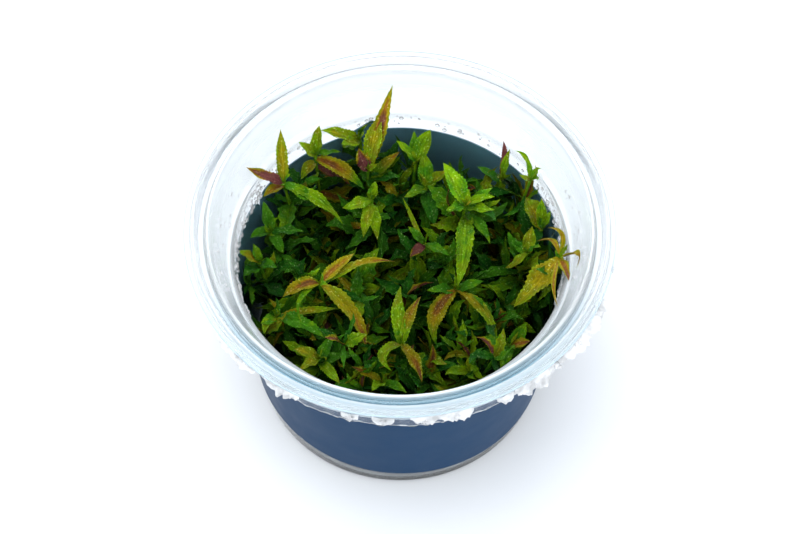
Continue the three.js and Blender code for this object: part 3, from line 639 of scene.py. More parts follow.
def blades(leaves, teeth, sides, tooth):
    """Leaf blades as flat tubes with a toothed edge.

    Midrib: (1-u)^3 A + 3u(1-u)^2 B + 3u^2(1-u) C + u^3 D. Form f: u^0.75 (1-u)^1.05 over its
    greatest value. Half width h: w/2 · f, times 1 + v or 1 - v by turns, where v wavers round the
    tooth share. A point at turn t of its ring: midrib + h cos t · across + (h |cos t| tan fold +
    thickness (1.2 - u) sin t + ripple) · up, with the across and up directions turned by roll +
    twist u, and ripple = wave · w · f cos^2 t · sin(2.1 · 2 pi u + phase + 1.9 cos t).
    """
    rings = 2 * teeth + 1
    step = np.arange(rings)
    odd = step % 2 == 1
    u = np.clip((step + np.where(odd, 0.35, 0.0)) / (rings - 1), 0, 1)[None, :, None]
    start, end, tint = [leaves[name][:, None] for name in ("start", "end", "tint")]
    arch, bend, width, roll, twist, fold, wave, phase = [
        leaves[name][:, None, None]
        for name in ("arch", "bend", "width", "roll", "twist", "fold", "wave", "phase")]
    run = end - start
    length = np.linalg.norm(run, axis=-1, keepdims=True)
    level = unit(run * [1, 1, 0] + [1e-6, 0, 0])
    sideways = np.cross([0.0, 0.0, 1.0], level)
    lift = length * arch * [0, 0, 1]
    drift = length * bend * sideways
    near = start + run * 0.33 + lift * 0.95 + drift * 0.4
    far = start + run * 0.67 + lift * 0.5 + drift * 0.9
    midrib = ((1 - u) ** 3 * start + 3 * u * (1 - u) ** 2 * near
              + 3 * u ** 2 * (1 - u) * far + u ** 3 * end)
    heading = unit((1 - u) ** 2 * (near - start) + 2 * u * (1 - u) * (far - near)
                   + u ** 2 * (end - far))
    across = unit(sideways - heading * np.sum(heading * sideways, axis=-1, keepdims=True))
    up = np.cross(heading, across)
    angle = roll + twist * u
    across, up = (across * np.cos(angle) + up * np.sin(angle),
                  up * np.cos(angle) - across * np.sin(angle))
    form = u ** 0.75 * (1 - u) ** 1.05
    form = np.maximum(form / form.max(), np.where(u < 0.5, 0.2, 0.015))
    waver = 1 + 0.8 * np.sin(2.7 * step[None, :, None] + phase)
    serration = 1 + tooth * waver * np.where(odd, 1.0, -1.0)[None, :, None]
    turn = around(sides)[None, None]
    reach = width / 2 * form * serration * np.cos(turn)
    ripple = wave * np.cos(turn) ** 2 * np.sin(TURN * 2.1 * u + phase + 1.9 * np.cos(turn))
    height = (np.abs(reach) * np.tan(fold) + LEAF_THICKNESS * np.sin(turn) * (1.2 - u)
              + ripple * form * width)
    points = (midrib[:, :, None] + reach[..., None] * across[:, :, None]
              + height[..., None] * up[:, :, None])
    shade = (1 - u) ** 2 * tint[..., :1] + 2 * u * (1 - u) * tint[..., 1:2] + u ** 2 * tint[..., 2:]
    marks = np.empty(points.shape)
    marks[..., 0] = u
    marks[..., 1] = np.cos(turn)
    marks[..., 2] = shade + np.where(np.sin(turn) < -0.1, 0.07, 0)
    return points, marks


def scattered(draw, starts, headings, climbs, sizes, tints):
    """Leaves with seeded variety.

    End = start + size (cos climb cos heading, cos climb sin heading, sin climb).
    """
    count = len(starts)
    leaves = leaf_rows(count)
    leaves["start"] = starts
    leaves["end"] = starts + polar(np.cos(climbs), headings, np.sin(climbs)) * sizes[:, None]
    vary(draw, leaves, LEAF_RANGES)
    leaves["width"] *= sizes
    leaves["tint"] = tints[:, None] + draw.uniform(-0.04, 0.06, (count, 3)) + [0, 0, 0.05]
    return leaves


def tint_draw(draw, count, depth):
    """Tints of scattered leaves: mostly greens, darker with depth, some olive and some reddened."""
    green = draw.uniform(0.24, 0.54, count) - 0.16 * depth
    kind = draw.uniform(0, 1, count)
    green = np.where(kind > 0.86, draw.uniform(0.54, 0.7, count), green)
    return np.clip(np.where(kind > 0.965, draw.uniform(0.8, 1.0, count), green), 0.04, 1)


def stem_path(foot, crown, lean):
    """A stem's line: foot + s (crown - foot) + lean · sin(pi s)."""
    s = np.linspace(0, 1, STEM_RINGS)[:, None]
    return foot + s * (crown - foot) + lean * np.sin(math.pi * s)


def along_path(path, share):
    """Points at shares of a path's length."""
    place = np.linspace(0, 1, len(path))
    return np.stack([np.interp(share, place, path[:, axis]) for axis in range(3)], axis=-1)


def whorls(draw, plant, path, leaves_each, bare):
    """Whorls down a stem from below its bare top, a gap apart, each turned from the one above."""
    gap, leaf = lengths(plant, "whorl_gap", "leaf")
    tall = path[-1, 2] - path[0, 2]
    count = max(1, int((tall - BARE_FOOT - bare) / gap))
    level = np.repeat(np.arange(1, count + 1), leaves_each)
    drop = bare + level * gap + draw.uniform(-1.2, 1.2, len(level))
    starts = along_path(path, 1 - drop / tall)
    headings = (level * 0.9 + np.tile(np.arange(leaves_each), count) * TURN / leaves_each
                + draw.uniform(-0.5, 0.5, len(level)) + draw.uniform(0, TURN))
    climbs = np.radians(draw.uniform(-10, 60, len(level)) - 3.0 * level)
    sizes = leaf * draw.uniform(0.6, 1.4, len(level))
    return scattered(draw, starts, headings, climbs, sizes,
                     tint_draw(draw, len(level), level / (count + 1)))


def bud_leaves(draw, crown, count, size):
    """Young upright leaves on a crown."""
    starts = np.repeat(crown[None], count, axis=0)
    headings = around(count) + draw.uniform(0, TURN)
    climbs = np.radians(draw.uniform(45, 80, count))
    return scattered(draw, starts, headings, climbs, size * draw.uniform(0.7, 1.2, count),
                     draw.uniform(0.42, 0.58, count))


def branches(draw, plant, path, count, lift):
    """Side shoots that leave a stem, raised by the lift: their paths, and a whorl on each.

    Path: start + s (end - start), less 1.2 sin(pi s) of height.
    """
    share = draw.uniform(0.35, 0.8, count)
    starts = along_path(path, share)
    heading = around(count) + draw.uniform(0, TURN)
    reach, rise = draw.uniform(3.5, 6.5, count), draw.uniform(5, 10, count) + lift
    ends = starts + polar(reach, heading, rise)
    s = np.linspace(0, 1, 7)[None, :, None]
    paths = starts[:, None] + (ends - starts)[:, None] * s + [0, 0, -1.2] * np.sin(math.pi * s)
    each = 5
    tips = np.repeat(ends, each, axis=0)
    turn = np.tile(around(each), count) + draw.uniform(-0.3, 0.3, len(tips))
    climbs = np.radians(draw.uniform(15, 65, len(tips)))
    sizes = plant.leaf / MM * draw.uniform(0.55, 0.9, len(tips))
    leaves = scattered(draw, tips, turn, climbs, sizes, tint_draw(draw, len(tips), 0.2))
    return paths, leaves


def shoot_shapes(tub, plant, draw, crown, crown_leaves, side_shoots, bare=0, lift=0):
    """All shapes of one shoot: stem, side stems, the crown's leaves and the lesser leaves."""
    crown = np.asarray(crown, float)
    foot = crown * [FOOT_SHARE, FOOT_SHARE, 0] + [0, 0, plant.gel_top / MM - FOOT_DEPTH]
    lean = np.append(draw.uniform(-1.0, 1.0, 2), 0)
    path = stem_path(foot, crown, lean)
    share = np.linspace(0, 1, len(path))
    stem = plant.stem / MM
    girth = stem * (1.05 - 0.3 * share + 0.12 * np.cos(TURN * share * len(path) / 2))
    side_paths, side_leaves = branches(draw, plant, path, side_shoots, lift)
    side_girth = np.full(side_paths.shape[:2], stem * 0.7)
    lesser = np.concatenate([
        whorls(draw, plant, path, leaves_each=5, bare=bare),
        bud_leaves(draw, crown, count=3, size=4), side_leaves])
    shapes = [
        (swept(path[None], girth[None], 8), [0.5, 1.0, 0.5]),
        (swept(side_paths, side_girth, 6), [0.5, 1.0, 0.47]),
        blades(crown_leaves, teeth=14, sides=8, tooth=0.08),
        blades(lesser, teeth=5, sides=4, tooth=0.16),
    ]
    return [(keep_inside(tub, points), marks) for points, marks in shapes]


# Materials


def new_material(name):
    """An empty material: its node tree and its shader."""
    material = bpy.data.materials.new(name)
    material.use_nodes = True
    return material, material.node_tree, material.node_tree.nodes["Principled BSDF"]


def add(tree, kind, inputs=None, **options):
    """A node with its options, and its inputs set or joined."""
    node = tree.nodes.new("ShaderNode" + kind)
    for name, value in options.items():
        setattr(node, name, value)
    join(tree, node, inputs or {})
    return node


def join(tree, node, inputs):
    """Sets a node's inputs to values, or joins them to other nodes' outputs."""
    for key, value in inputs.items():
        if isinstance(value, bpy.types.NodeSocket):
            tree.links.new(value, node.inputs[key])
        else:
            node.inputs[key].default_value = value


def maths(tree, operation, first, second=0.0):
    """One operation on two numbers or sockets."""
    return add(tree, "Math", {0: first, 1: second}, operation=operation).outputs[0]


def between(tree, value, low, high, to_low, to_high):
    """A value moved from one range to another, and held to it."""
    return add(tree, "MapRange", {
        "Value": value, "From Min": low, "From Max": high, "To Min": to_low, "To Max": to_high,
    }).outputs[0]


def ramp(tree, factor, stops):
    """Colours between (place, colour) stops."""
    node = add(tree, "ValToRGB", {"Fac": factor})
    elements = node.color_ramp.elements
    while len(elements) < len(stops):
        elements.new(0.5)
    for element, (place, colour) in zip(elements, stops):
        element.position = place
        element.color = (*colour, 1)
    return node.outputs["Color"]


def noise(tree, scale, detail=3.0, roughness=0.5):
    """Cloudy noise on Object coordinates, in waves per metre."""
    place = add(tree, "TexCoord").outputs["Object"]
    return add(tree, "TexNoise", {
        "Vector": place, "Scale": scale, "Detail": detail, "Roughness": roughness}).outputs["Fac"]


def clouded(tree, low, high, scale, detail=3.0):
    """A value that noise moves between two."""
    return between(tree, noise(tree, scale, detail), 0.3, 0.7, low, high)


def mottled(tree, tone, low, high, scale, detail):
    """A colour shaded by noise: low and high are (place on the noise, share of the colour)."""
    return ramp(tree, noise(tree, scale, detail), [
        (place, [share * value for value in tone]) for place, share in (low, high)])


def bump(tree, height, distance, strength):
    """A bump from a height map, its distance in millimetres."""
    return add(tree, "Bump", {
        "Height": height, "Distance": distance * MM, "Strength": strength}).outputs["Normal"]


def scaled(tree, colour, factor):
    """A colour times a number."""
    return add(tree, "VectorMath", {0: colour, "Scale": factor}, operation="SCALE").outputs[0]


def plastic_material(tub):
    """Clear moulded plastic with a faint haze and a rim frosted most in front.

    In front the rim's frosted tint is painted shade, and a fine line of painted shade marks the
    flange's edge.
    """
    material, tree, shader = new_material("clear_plastic")
    here = add(tree, "TexCoord").outputs["Object"]
    _, depth, height = add(tree, "SeparateXYZ", {0: here}).outputs
    # Painted shade: towards the front the rim grows frostier and takes the darker frosted tint
    front = between(tree, depth, -FROST_DEPTHS[1] * MM, -FROST_DEPTHS[0] * MM, 1.0, 0.0)
    upper = between(tree, height, *[tub.ledge - under * MM for under in FROST_UNDER], 0.0, 1.0)
    place = add(tree, "VectorMath", {0: here, 1: (1, 1, 0)}, operation="MULTIPLY").outputs[0]
    reach = add(tree, "VectorMath", {0: place}, operation="LENGTH").outputs["Value"]
    low, high = FROST[0][0] * MM, FROST[-1][0] * MM
    rows = ramp(tree, between(tree, reach, low, high, 0.0, 1.0), [
        ((radius * MM - low) / (high - low), (share, tint, 0)) for radius, share, tint in FROST])
    frost, tint, _ = add(tree, "SeparateColor", {0: rows}).outputs
    # Painted shade line: frost and the darker tint rise at the flange's outer edge
    edge = between(
        tree, reach, *[tub.flange - inside * MM for inside in PAINTED_EDGE_LINE], 0.0, PAINTED_EDGE_STRENGTH)
    frost = maths(tree, "MULTIPLY", frost, between(tree, front, 0.0, 1.0, 0.5, 1.0))
    frost = maths(tree, "MULTIPLY", frost, upper)
    frost = maths(tree, "MAXIMUM", frost, edge)
    tint = maths(tree, "MAXIMUM", maths(tree, "MULTIPLY", tint, front), edge)
    join(tree, shader, {
        "Base Color": ramp(tree, tint, [(0.0, tuple(tub.colour)), (1.0, tuple(tub.frosted))]),
        "Transmission Weight": maths(tree, "SUBTRACT", 1.0, frost),
        "IOR": 1.49,
        "Roughness": clouded(tree, tub.haze * 0.5, tub.haze * 1.8, 90),
        "Normal": bump(tree, noise(tree, 45, 2), 0.12, 0.5),
    })
    return material


def label_material(label):
    """Printed film: plain navy, faintly uneven, with a satin face and a slate back.

    The slate back is partly its own colour and partly painted light, brightened for the light that
    reaches it through the clear wall.
    """
    material, tree, shader = new_material("navy_label")
    inside = add(tree, "Attribute", attribute_name="growth").outputs["Vector"]
    inside = add(tree, "SeparateXYZ", {0: inside}).outputs["X"]
    # The slate inner side is its colour brightened by painted light
    face = ramp(tree, inside, [(0.4, tuple(label.colour)), (0.6, tuple(label.back))])
    join(tree, shader, {
        "Base Color": scaled(tree, face, clouded(tree, 0.93, 1.07, 22, 4)),
        "Roughness": clouded(tree, 0.35, 0.42, 160),
        "Specular IOR Level": 0.05,
        "Normal": bump(tree, noise(tree, 70, 3), 0.05, 0.5),
    })
    return material


def gel_material(plant):
    """Cloudy wet gel.

    Its dark blue-grey is painted shade, in place of the shadow and the navy label seen through it.
    """
    material, tree, shader = new_material("nutrient_gel")
    join(tree, shader, {
        "Base Color": mottled(tree, plant.gel, (0.3, 0.7), (0.7, 1.2), 120, 5),
        "Roughness": 0.3,
        "IOR": 1.34,
        "Specular IOR Level": 0.1,
        "Normal": bump(tree, noise(tree, 150, 2), 0.3, 0.4),
    })
    return material


def leaf_material(plant):
    """Waxy leaf: a tint from the ramp with midrib, veins, streaks, blotches and a pale edge.

    The pale edge is a painted highlight, and painted glints, painted shade low in the cup and
    painted light high up are laid on the colour.
    """
    material, tree, shader = new_material("waxy_leaf")
    marks = add(tree, "Attribute", attribute_name="growth").outputs["Vector"]
    along, across, tint = add(tree, "SeparateXYZ", {0: marks}).outputs
    blotch = noise(tree, 330, 4, 0.6)
    tint = maths(tree, "ADD", tint, between(tree, blotch, 0.25, 0.75, -0.1, 0.1))
    edge = maths(tree, "ABSOLUTE", across)
    # On turned leaves the midrib is further along the ramp than the edge, more so on browned ones
    turned_leaf = maths(tree, "MULTIPLY", between(tree, tint, 0.56, 0.66, 0.0, 1.0),
                        between(tree, edge, 0.2, 0.9, 0.03, -0.05))
    tint = maths(tree, "ADD", tint, turned_leaf)
    browned = maths(tree, "MULTIPLY", between(tree, tint, 0.72, 0.86, 0.0, 1.0),
                    between(tree, tint, 1.0, 1.1, 1.0, 0.0))
    tint = maths(tree, "ADD", tint, maths(
        tree, "MULTIPLY", browned, between(tree, edge, 0.3, 0.85, 0.0, -0.24)))
    colour = ramp(tree, tint, [(stop, tuple(getattr(plant, name))) for stop, name in TINTS])
    # Midrib, and side veins that slant away from it
    midrib = between(tree, edge, 0.02, 0.16, 1.0, 0.0)
    slant = maths(tree, "SUBTRACT", maths(tree, "MULTIPLY", along, 8.0),
                  maths(tree, "MULTIPLY", edge, 1.3))
    veins = maths(tree, "SINE", maths(tree, "MULTIPLY", slant, TURN))
    veins = between(tree, veins, 0.55, 1.0, 0.0, 1.0)
    # Brightness: clouds, midrib and veins, streaks along the leaf, and the pale edge, a painted
    # highlight
    light = maths(
        tree, "ADD", clouded(tree, 0.72, 1.2, 110), maths(tree, "MULTIPLY", midrib, 0.35))
    light = maths(tree, "SUBTRACT", light, maths(tree, "MULTIPLY", veins, 0.12))
    grain = add(tree, "VectorMath", {0: marks, 1: (2.5, 5, 40)}, operation="MULTIPLY").outputs[0]
    grain = add(tree, "TexNoise", {"Vector": grain, "Scale": 1.6, "Detail": 5.0}).outputs["Fac"]
    light = maths(tree, "MULTIPLY", light, between(tree, grain, 0.3, 0.7, 0.5, 1.3))
    light = maths(tree, "ADD", light, between(tree, edge, 0.8, 1.0, 0.0, 0.35))
    # Relief of midrib, veins and fine grain
    relief = maths(tree, "ADD", maths(tree, "MULTIPLY", midrib, -0.8),
                   maths(tree, "MULTIPLY", veins, -0.4))
    relief = maths(tree, "ADD", relief, noise(tree, 1600, 2))
    # Painted shade and light: leaves lower in the cup are darker and the highest brighter,
    # and painted glints, pale dots, lie on all of them
    height = add(tree, "SeparateXYZ", {0: add(tree, "TexCoord").outputs["Object"]}).outputs["Z"]
    depth = maths(tree, "ADD", *[
        between(tree, height, low * MM, high * MM, *shares) for low, high, *shares in PAINTED_LEAF_LIGHT])
    light = maths(tree, "MULTIPLY", light, depth)
    # Painted glints: pale dots of painted highlight, scaled by the painted light
    wet = between(tree, noise(tree, 2100, 3, 0.6), 0.6, 0.68, 0.0, 0.5)
    wet = maths(tree, "MULTIPLY", wet, depth)
    light = maths(tree, "ADD", light, wet)
    glint_colour = scaled(tree, (0.26, 0.3, 0.14), wet)
    colour = add(tree, "VectorMath", {0: scaled(tree, colour, light), 1: glint_colour}, operation="ADD")
    join(tree, shader, {
        "Base Color": colour.outputs[0],
        "Roughness": clouded(tree, 0.25, 0.5, 700),
        "Specular IOR Level": 0.25,
        "Specular Tint": (*plant.lime, 1),
        "Normal": bump(tree, relief, 0.12, 0.6),
    })
    return material


def film_material(film):
    """White scraps of film with fine creases."""
    material, tree, shader = new_material("film_scraps")
    join(tree, shader, {
        "Base Color": mottled(tree, film.colour, (0.36, 0.48), (0.62, 0.8), 420, 4),
        "Roughness": 0.5,
        "Normal": bump(tree, noise(tree, 900, 3), 0.2, 0.7),
    })
    return material


def clear_film_material(film):
    """What is left of the clear film, finely creased."""
    material, tree, shader = new_material("clear_film")
    join(tree, shader, {
        "Base Color": (*film.colour, 1),
        "Roughness": between(tree, noise(tree, 300), 0.35, 0.65, 0.05, 0.2),
        "IOR": 1.2,
        "Transmission Weight": 0.98,
        "Normal": bump(tree, noise(tree, 420, 4), 0.15, 0.6),
    })
    return material


def water_material():
    """Droplets of clear water."""
    material, tree, shader = new_material("water_droplets")
    join(tree, shader, {
        "Base Color": (1, 1, 1, 1),
        "Roughness": 0.1,
        "IOR": 1.33,
        "Transmission Weight": 0.75,
        "Normal": bump(tree, noise(tree, 900, 1), 0.02, 0.3),
    })
    return material


def floor_material(studio):
    """Pale matt studio floor."""
    material, tree, shader = new_material("studio_floor")
    join(tree, shader, {
        "Base Color": mottled(tree, studio.floor, (0.3, 0.985), (0.7, 1), 3, 2),
        "Roughness": 0.7,
    })
    return material


# Operators


class BuildTub(bpy.types.Operator):
    """Builds the clear tub with its foot, ledge and moulded rim."""

    bl_idname = "plant_cup.build_tub"
    bl_label = "Build tub"

    def execute(self, context):
        tub = context.scene.plant_cup.tub
        flange, top, wall, foot, ledge, ledge_radius, lip = lengths(
            tub, "flange", "height", "wall", "foot", "ledge", "ledge_radius", "lip")
        profile = [
            # Raised floor, foot ring and side
            (1, 1), (28, 1), (29, 0), (foot - 1, 0), (side_radius(tub, 1.2), 1.2),
            (side_radius(tub, ledge - wall), ledge - wall),
            # Ledge, mouth and the skirt round it
            (ledge_radius + wall, ledge), (lip - 0.4, 60), (lip + 0.6, 62.7), (48, 62.9),
            (48.1, 60.6), (48.9, 60.6), (49, 64.3),
            # Flange, ridge, groove and lip
            (flange, 64.4), (flange, FLANGE_TOP), (48.9, FLANGE_TOP), (48.5, top), (47.9, top),
            (47.1, 63.7), (45.9, 63.7), (45.5, 65.1), (lip, 65),
            # Inner side, down to the floor
            (lip - LIP_TAPER, 59.5), (ledge_radius, ledge + 0.6),
            (side_radius(tub, ledge) - wall, ledge),
            (side_radius(tub, FLOOR_CORNER) - wall, FLOOR_CORNER), (foot - 2.4, 1.9), (1, 1.9)]
        shape = turned(rounded(profile, EDGE_RADIUS), sides=256)
        add_piece("tub_smooth", [(shape, [0, 0, 0])], plastic_material(tub),
                  ["tub"], crease=40)
        return {"FINISHED"}


class BuildLabel(bpy.types.Operator):
    """Builds the label with its round corners, its tilted lower edge and its torn tab."""

    bl_idname = "plant_cup.build_label"
    bl_label = "Build label"

    def execute(self, context):
        cup = context.scene.plant_cup
        tub, label = cup.tub, cup.label
        top, low, tilt, corner = lengths(label, "top", "low", "tilt", "corner")
        # Angles all round, closer together at the two round ends
        inner = np.linspace(label.start, label.end, 400)
        ends = np.radians(np.linspace(0, 5, 24)[:-1])
        angle = np.unique(np.concatenate([inner, label.start + ends, label.end - ends]))
        arc = side_radius(tub, top) * np.minimum(angle - label.start, label.end - angle)
        cut = 1 - np.clip(arc / corner, 0, 1)
        rise = corner * (1 - np.sqrt(1 - cut ** 2))
        # Upper edge: top - rise + tab + 0.12 sin 5a. Lower edge: low + tilt cos a + rise.
        degrees = np.degrees(angle)
        climb = np.clip((degrees - TAB_FIRST) / (TAB_PEAK - TAB_FIRST), 0, 1)
        fall = np.clip((TAB_LAST - degrees) / (TAB_LAST - TAB_PEAK), 0, 1)
        high = top - rise + TAB_RISE * fall ** 1.5 * climb + 0.12 * np.sin(5 * angle)
        base = low + tilt * np.cos(angle) + rise
        rows = 14
        shape = band(angle, base, high, lambda h: side_radius(tub, h) + LABEL_GAP,
                     LABEL_THICKNESS, rows)
        marks = np.zeros(shape.shape)
        marks[:, :, rows:, 0] = 1
        add_piece("label_band", [(shape, marks)], label_material(label), ["label"])
        return {"FINISHED"}


class BuildFilm(bpy.types.Operator):
    """Builds the torn strips of film under the rim and the white scraps on them."""

    bl_idname = "plant_cup.build_film"
    bl_label = "Build film"

    def execute(self, context):
        film = context.scene.plant_cup.film
        radius, top, hang = lengths(film, "radius", "top", "hang")
        clear, white = clear_film_material(film), film_material(film)
        fringes = []
        for name, node, start, end, share, seed in FILM_STRIPS:
            angle = np.radians(np.linspace(start, end, int(end - start) * 5))
            torn = ragged(angle, seed, 0.035, 0.35) + ragged(angle, seed + 20, 0.012, 0.18)
            low = top - FILM_LEAST - faded(len(angle), 0.02) * (hang * share + torn)
            high = np.full(len(angle), top)
            crease = 0.25 * np.sin(angle * 90) + 0.2 * np.sin(angle * 37)

            # Radius at height h: r + 0.6 (0.4 + crease(a)) (top - h) / hang
            def reach(height):
                return radius + (0.4 + crease[:, None]) * (top - height) / hang * 0.6

            shape = band(angle, low, high, reach, FILM_THICKNESS, rows=6)
            add_piece(name, [(shape, [0, 0, 0])], clear, [node])
            edge = polar(radius + 0.35, angle, low)[None]
            fringes.append((swept(edge, np.full((1, len(angle)), 0.1), 5), [0, 0, 0]))
        add_piece("film_fringe", fringes, white)
        pieces = self.torn_strips(TORN_STRIPS, radius + 0.75)
        pieces.append(self.scraps(np.array(SCRAPS, float), radius + 1))
        add_piece("film_scraps", [(piece, [0, 0, 0]) for piece in pieces], white,
                  crease=25)
        return {"FINISHED"}

    @staticmethod
    def torn_strips(rows, radius):
        """Pleated strips that stand out towards a torn lower edge.

        Radius at angle a and share s of the drop: r + (spread + pleat(a)) s + 0.12 sin(7s + 90a),
        where the pleats are straight folds between seeded random heights.
        """
        shapes = []
        for seed, (start, end, top, drop, spread) in enumerate(rows):
            angle = np.radians(np.linspace(start, end, int((end - start) * 8)))
            torn = ragged(angle, seed + 40, 0.035, 0.2) + ragged(angle, seed + 60, 0.011, 0.12)
            pleat = ragged(angle, seed + 80, 0.013, 0.6)

            def reach(height):
                share = (top - height) / drop
                return radius + (spread + pleat[:, None]) * share + 0.12 * np.sin(
                    7 * share + 90 * angle[:, None])

            low = top - drop * faded(len(angle), 0.03) * (0.75 + torn)
            high = np.full(len(angle), top)
            shapes.append(band(angle, low, high, reach, SCRAP_THICKNESS, rows=9))
        return shapes

    @staticmethod
    def scraps(rows, radius):
        """Crumpled scraps as flat closed lenses.

        Outline radius at turn t: straight from one seeded knot to the next. Height over the middle
        plane: 0.35 |sin(3.6x + y + p)| - 0.35 |sin(4.1y - x + q)|, and half the thickness up or
        down.
        """
        draw = np.random.default_rng(SCRAP_SEED)
        angle, height, wide, drop, lean = rows.T
        turn, lean = np.radians(angle), np.radians(lean)
        outward = polar(1, turn, 0)
        along = np.cross([0, 0, 1], outward)
        down = np.sin(lean)[:, None] * outward - np.cos(lean)[:, None] * [0, 0, 1]
        normal = np.cross(down, along)
        middle = polar(radius, turn, height) + down * (drop / 2 - 0.3)[:, None]
        share = np.array([0.05, 0.35, 0.65, 0.85, 1, 0.85, 0.65, 0.35, 0.05])
        side = np.array([-1, -1, -1, -0.8, 0, 0.8, 1, 1, 1.0]) * 0.09
        sweep = around(40)
        phase = draw.uniform(0, TURN, (len(rows), 2))
        p, q = phase[:, :1, None], phase[:, 1:, None]
        knots = draw.uniform(0.5, 1.25, (len(rows), SCRAP_CORNERS))
        place = sweep / TURN * SCRAP_CORNERS
        left = place.astype(int) % SCRAP_CORNERS
        part = place % 1
        outline = knots[:, left] * (1 - part) + knots[:, (left + 1) % SCRAP_CORNERS] * part
        x = share[None, :, None] * outline[:, None] * np.cos(sweep)
        y = share[None, :, None] * outline[:, None] * np.sin(sweep)
        crumple = 0.35 * np.abs(np.sin(3.6 * x + y + p)) - 0.35 * np.abs(np.sin(4.1 * y - x + q))
        lift = crumple + side[None, :, None]
        x, y = x * (drop / 2)[:, None, None], y * (wide / 2)[:, None, None]
        return (middle[:, None, None] + x[..., None] * down[:, None, None]
                + y[..., None] * along[:, None, None] + lift[..., None] * normal[:, None, None])


class BuildGel(bpy.types.Operator):
    """Builds the gel with its raised edge."""

    bl_idname = "plant_cup.build_gel"
    bl_label = "Build gel"

    def execute(self, context):
        cup = context.scene.plant_cup
        tub, plant = cup.tub, cup.plant
        top = plant.gel_top / MM
        edge = side_radius(tub, top) - GEL_GAP
        profile = [
            # Underside, corner and side
            (1, 2.15), (side_radius(tub, 2.15) - 2.6, 2.15), (side_radius(tub, 3.6) - GEL_GAP, 3.6),
            # Raised edge and top
            (edge, top + 0.6), (edge - 0.5, top + 0.3), (edge - 2.5, top), (1, top)]
        shape = turned(rounded(profile, 0.8), sides=128)
        # The top swells by 0.25 (sin 0.35x cos 0.3y - 1)
        swell = 0.25 * np.sin(shape[..., 0] * 0.35) * np.cos(shape[..., 1] * 0.3)
        shape[..., 2] += np.where(shape[..., 2] > top - 1, swell - 0.25, 0)
        add_piece("gel_body", [(shape, [0, 0, 0])], gel_material(plant), ["gel"])
        return {"FINISHED"}


class BuildTallShoots(bpy.types.Operator):
    """Builds the shoots that stand out, each in place of its node."""

    bl_idname = "plant_cup.build_tall_shoots"
    bl_label = "Build tall shoots"

    def execute(self, context):
        cup = context.scene.plant_cup
        material = leaf_material(cup.plant)
        for count, (node, slot, crown, rows) in enumerate(TALL_SHOOTS):
            draw = np.random.default_rng(cup.plant.seed * 1000 + count)
            x, y, z, width, arch, base, middle, tip, roll, bend, below = np.array(
                [(*row, 0, 0, 0)[:11] for row in rows], float).T
            leaves = leaf_rows(len(rows))
            leaves["start"], leaves["end"] = crown, np.stack([x, y, z], axis=-1)
            leaves["start"][:, 2] -= below
            leaves["width"], leaves["arch"] = width * TALL_LEAF_WIDTH, arch
            leaves["tint"] = np.stack([base, middle, tip], axis=-1)
            leaves["roll"], leaves["bend"] = np.radians(roll), bend
            vary(draw, leaves, TALL_RANGES)
            shapes = shoot_shapes(
                cup.tub, cup.plant, draw, crown, leaves, side_shoots=1, bare=BARE_TOP)
            add_piece(node.replace("shoot_", "") + "_shoot", shapes, material, [node], 60)
        return {"FINISHED"}


class BuildFillShoots(bpy.types.Operator):
    """Builds the shoots between them, each in place of its node."""

    bl_idname = "plant_cup.build_fill_shoots"
    bl_label = "Build fill shoots"

    def execute(self, context):
        cup = context.scene.plant_cup
        material = bpy.data.materials["waxy_leaf"]
        for spot in range(FILL_SPOTS):
            node = f"shoot_{spot:02d}"
            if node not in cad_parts:
                continue
            draw = np.random.default_rng(cup.plant.seed * 100 + spot)
            reach = FILL_RADIUS * math.sqrt((spot + 0.5) / FILL_SPOTS)
            turn = spot * GOLDEN_TURN
            crown = polar(reach, turn, self.spread(spot, 0.7549, FILL_CROWN))
            leaf = np.arange(FILL_LEAVES)
            count = spot * FILL_LEAVES + leaf
            heading = TURN * (leaf / FILL_LEAVES + self.spread(spot, 0.5698))
            climb = np.radians(self.spread(count, 0.3247, FILL_CLIMB))
            size = self.spread(count, 0.618, FILL_LENGTH)
            tints = tint_draw(draw, FILL_LEAVES, 0)
            starts = np.repeat(crown[None], FILL_LEAVES, axis=0)
            starts[:, 2] -= draw.uniform(0, 4, FILL_LEAVES)
            leaves = scattered(draw, starts, heading, climb, size, tints)
            lift = FRONT_LIFT if reach > FRONT_REACH and crown[1] < 0 else 0
            shapes = shoot_shapes(
                cup.tub, cup.plant, draw, crown, leaves, side_shoots=3, lift=lift)
            add_piece(f"fill_{spot:02d}_shoot", shapes, material, [node], 60)
        return {"FINISHED"}

    @staticmethod
    def spread(count, step, limits=(0, 1)):
        """Values least + span × (0.5 + count × step) mod 1, spread evenly as the count goes up."""
        least, span = limits
        return least + span * ((0.5 + count * step) % 1)


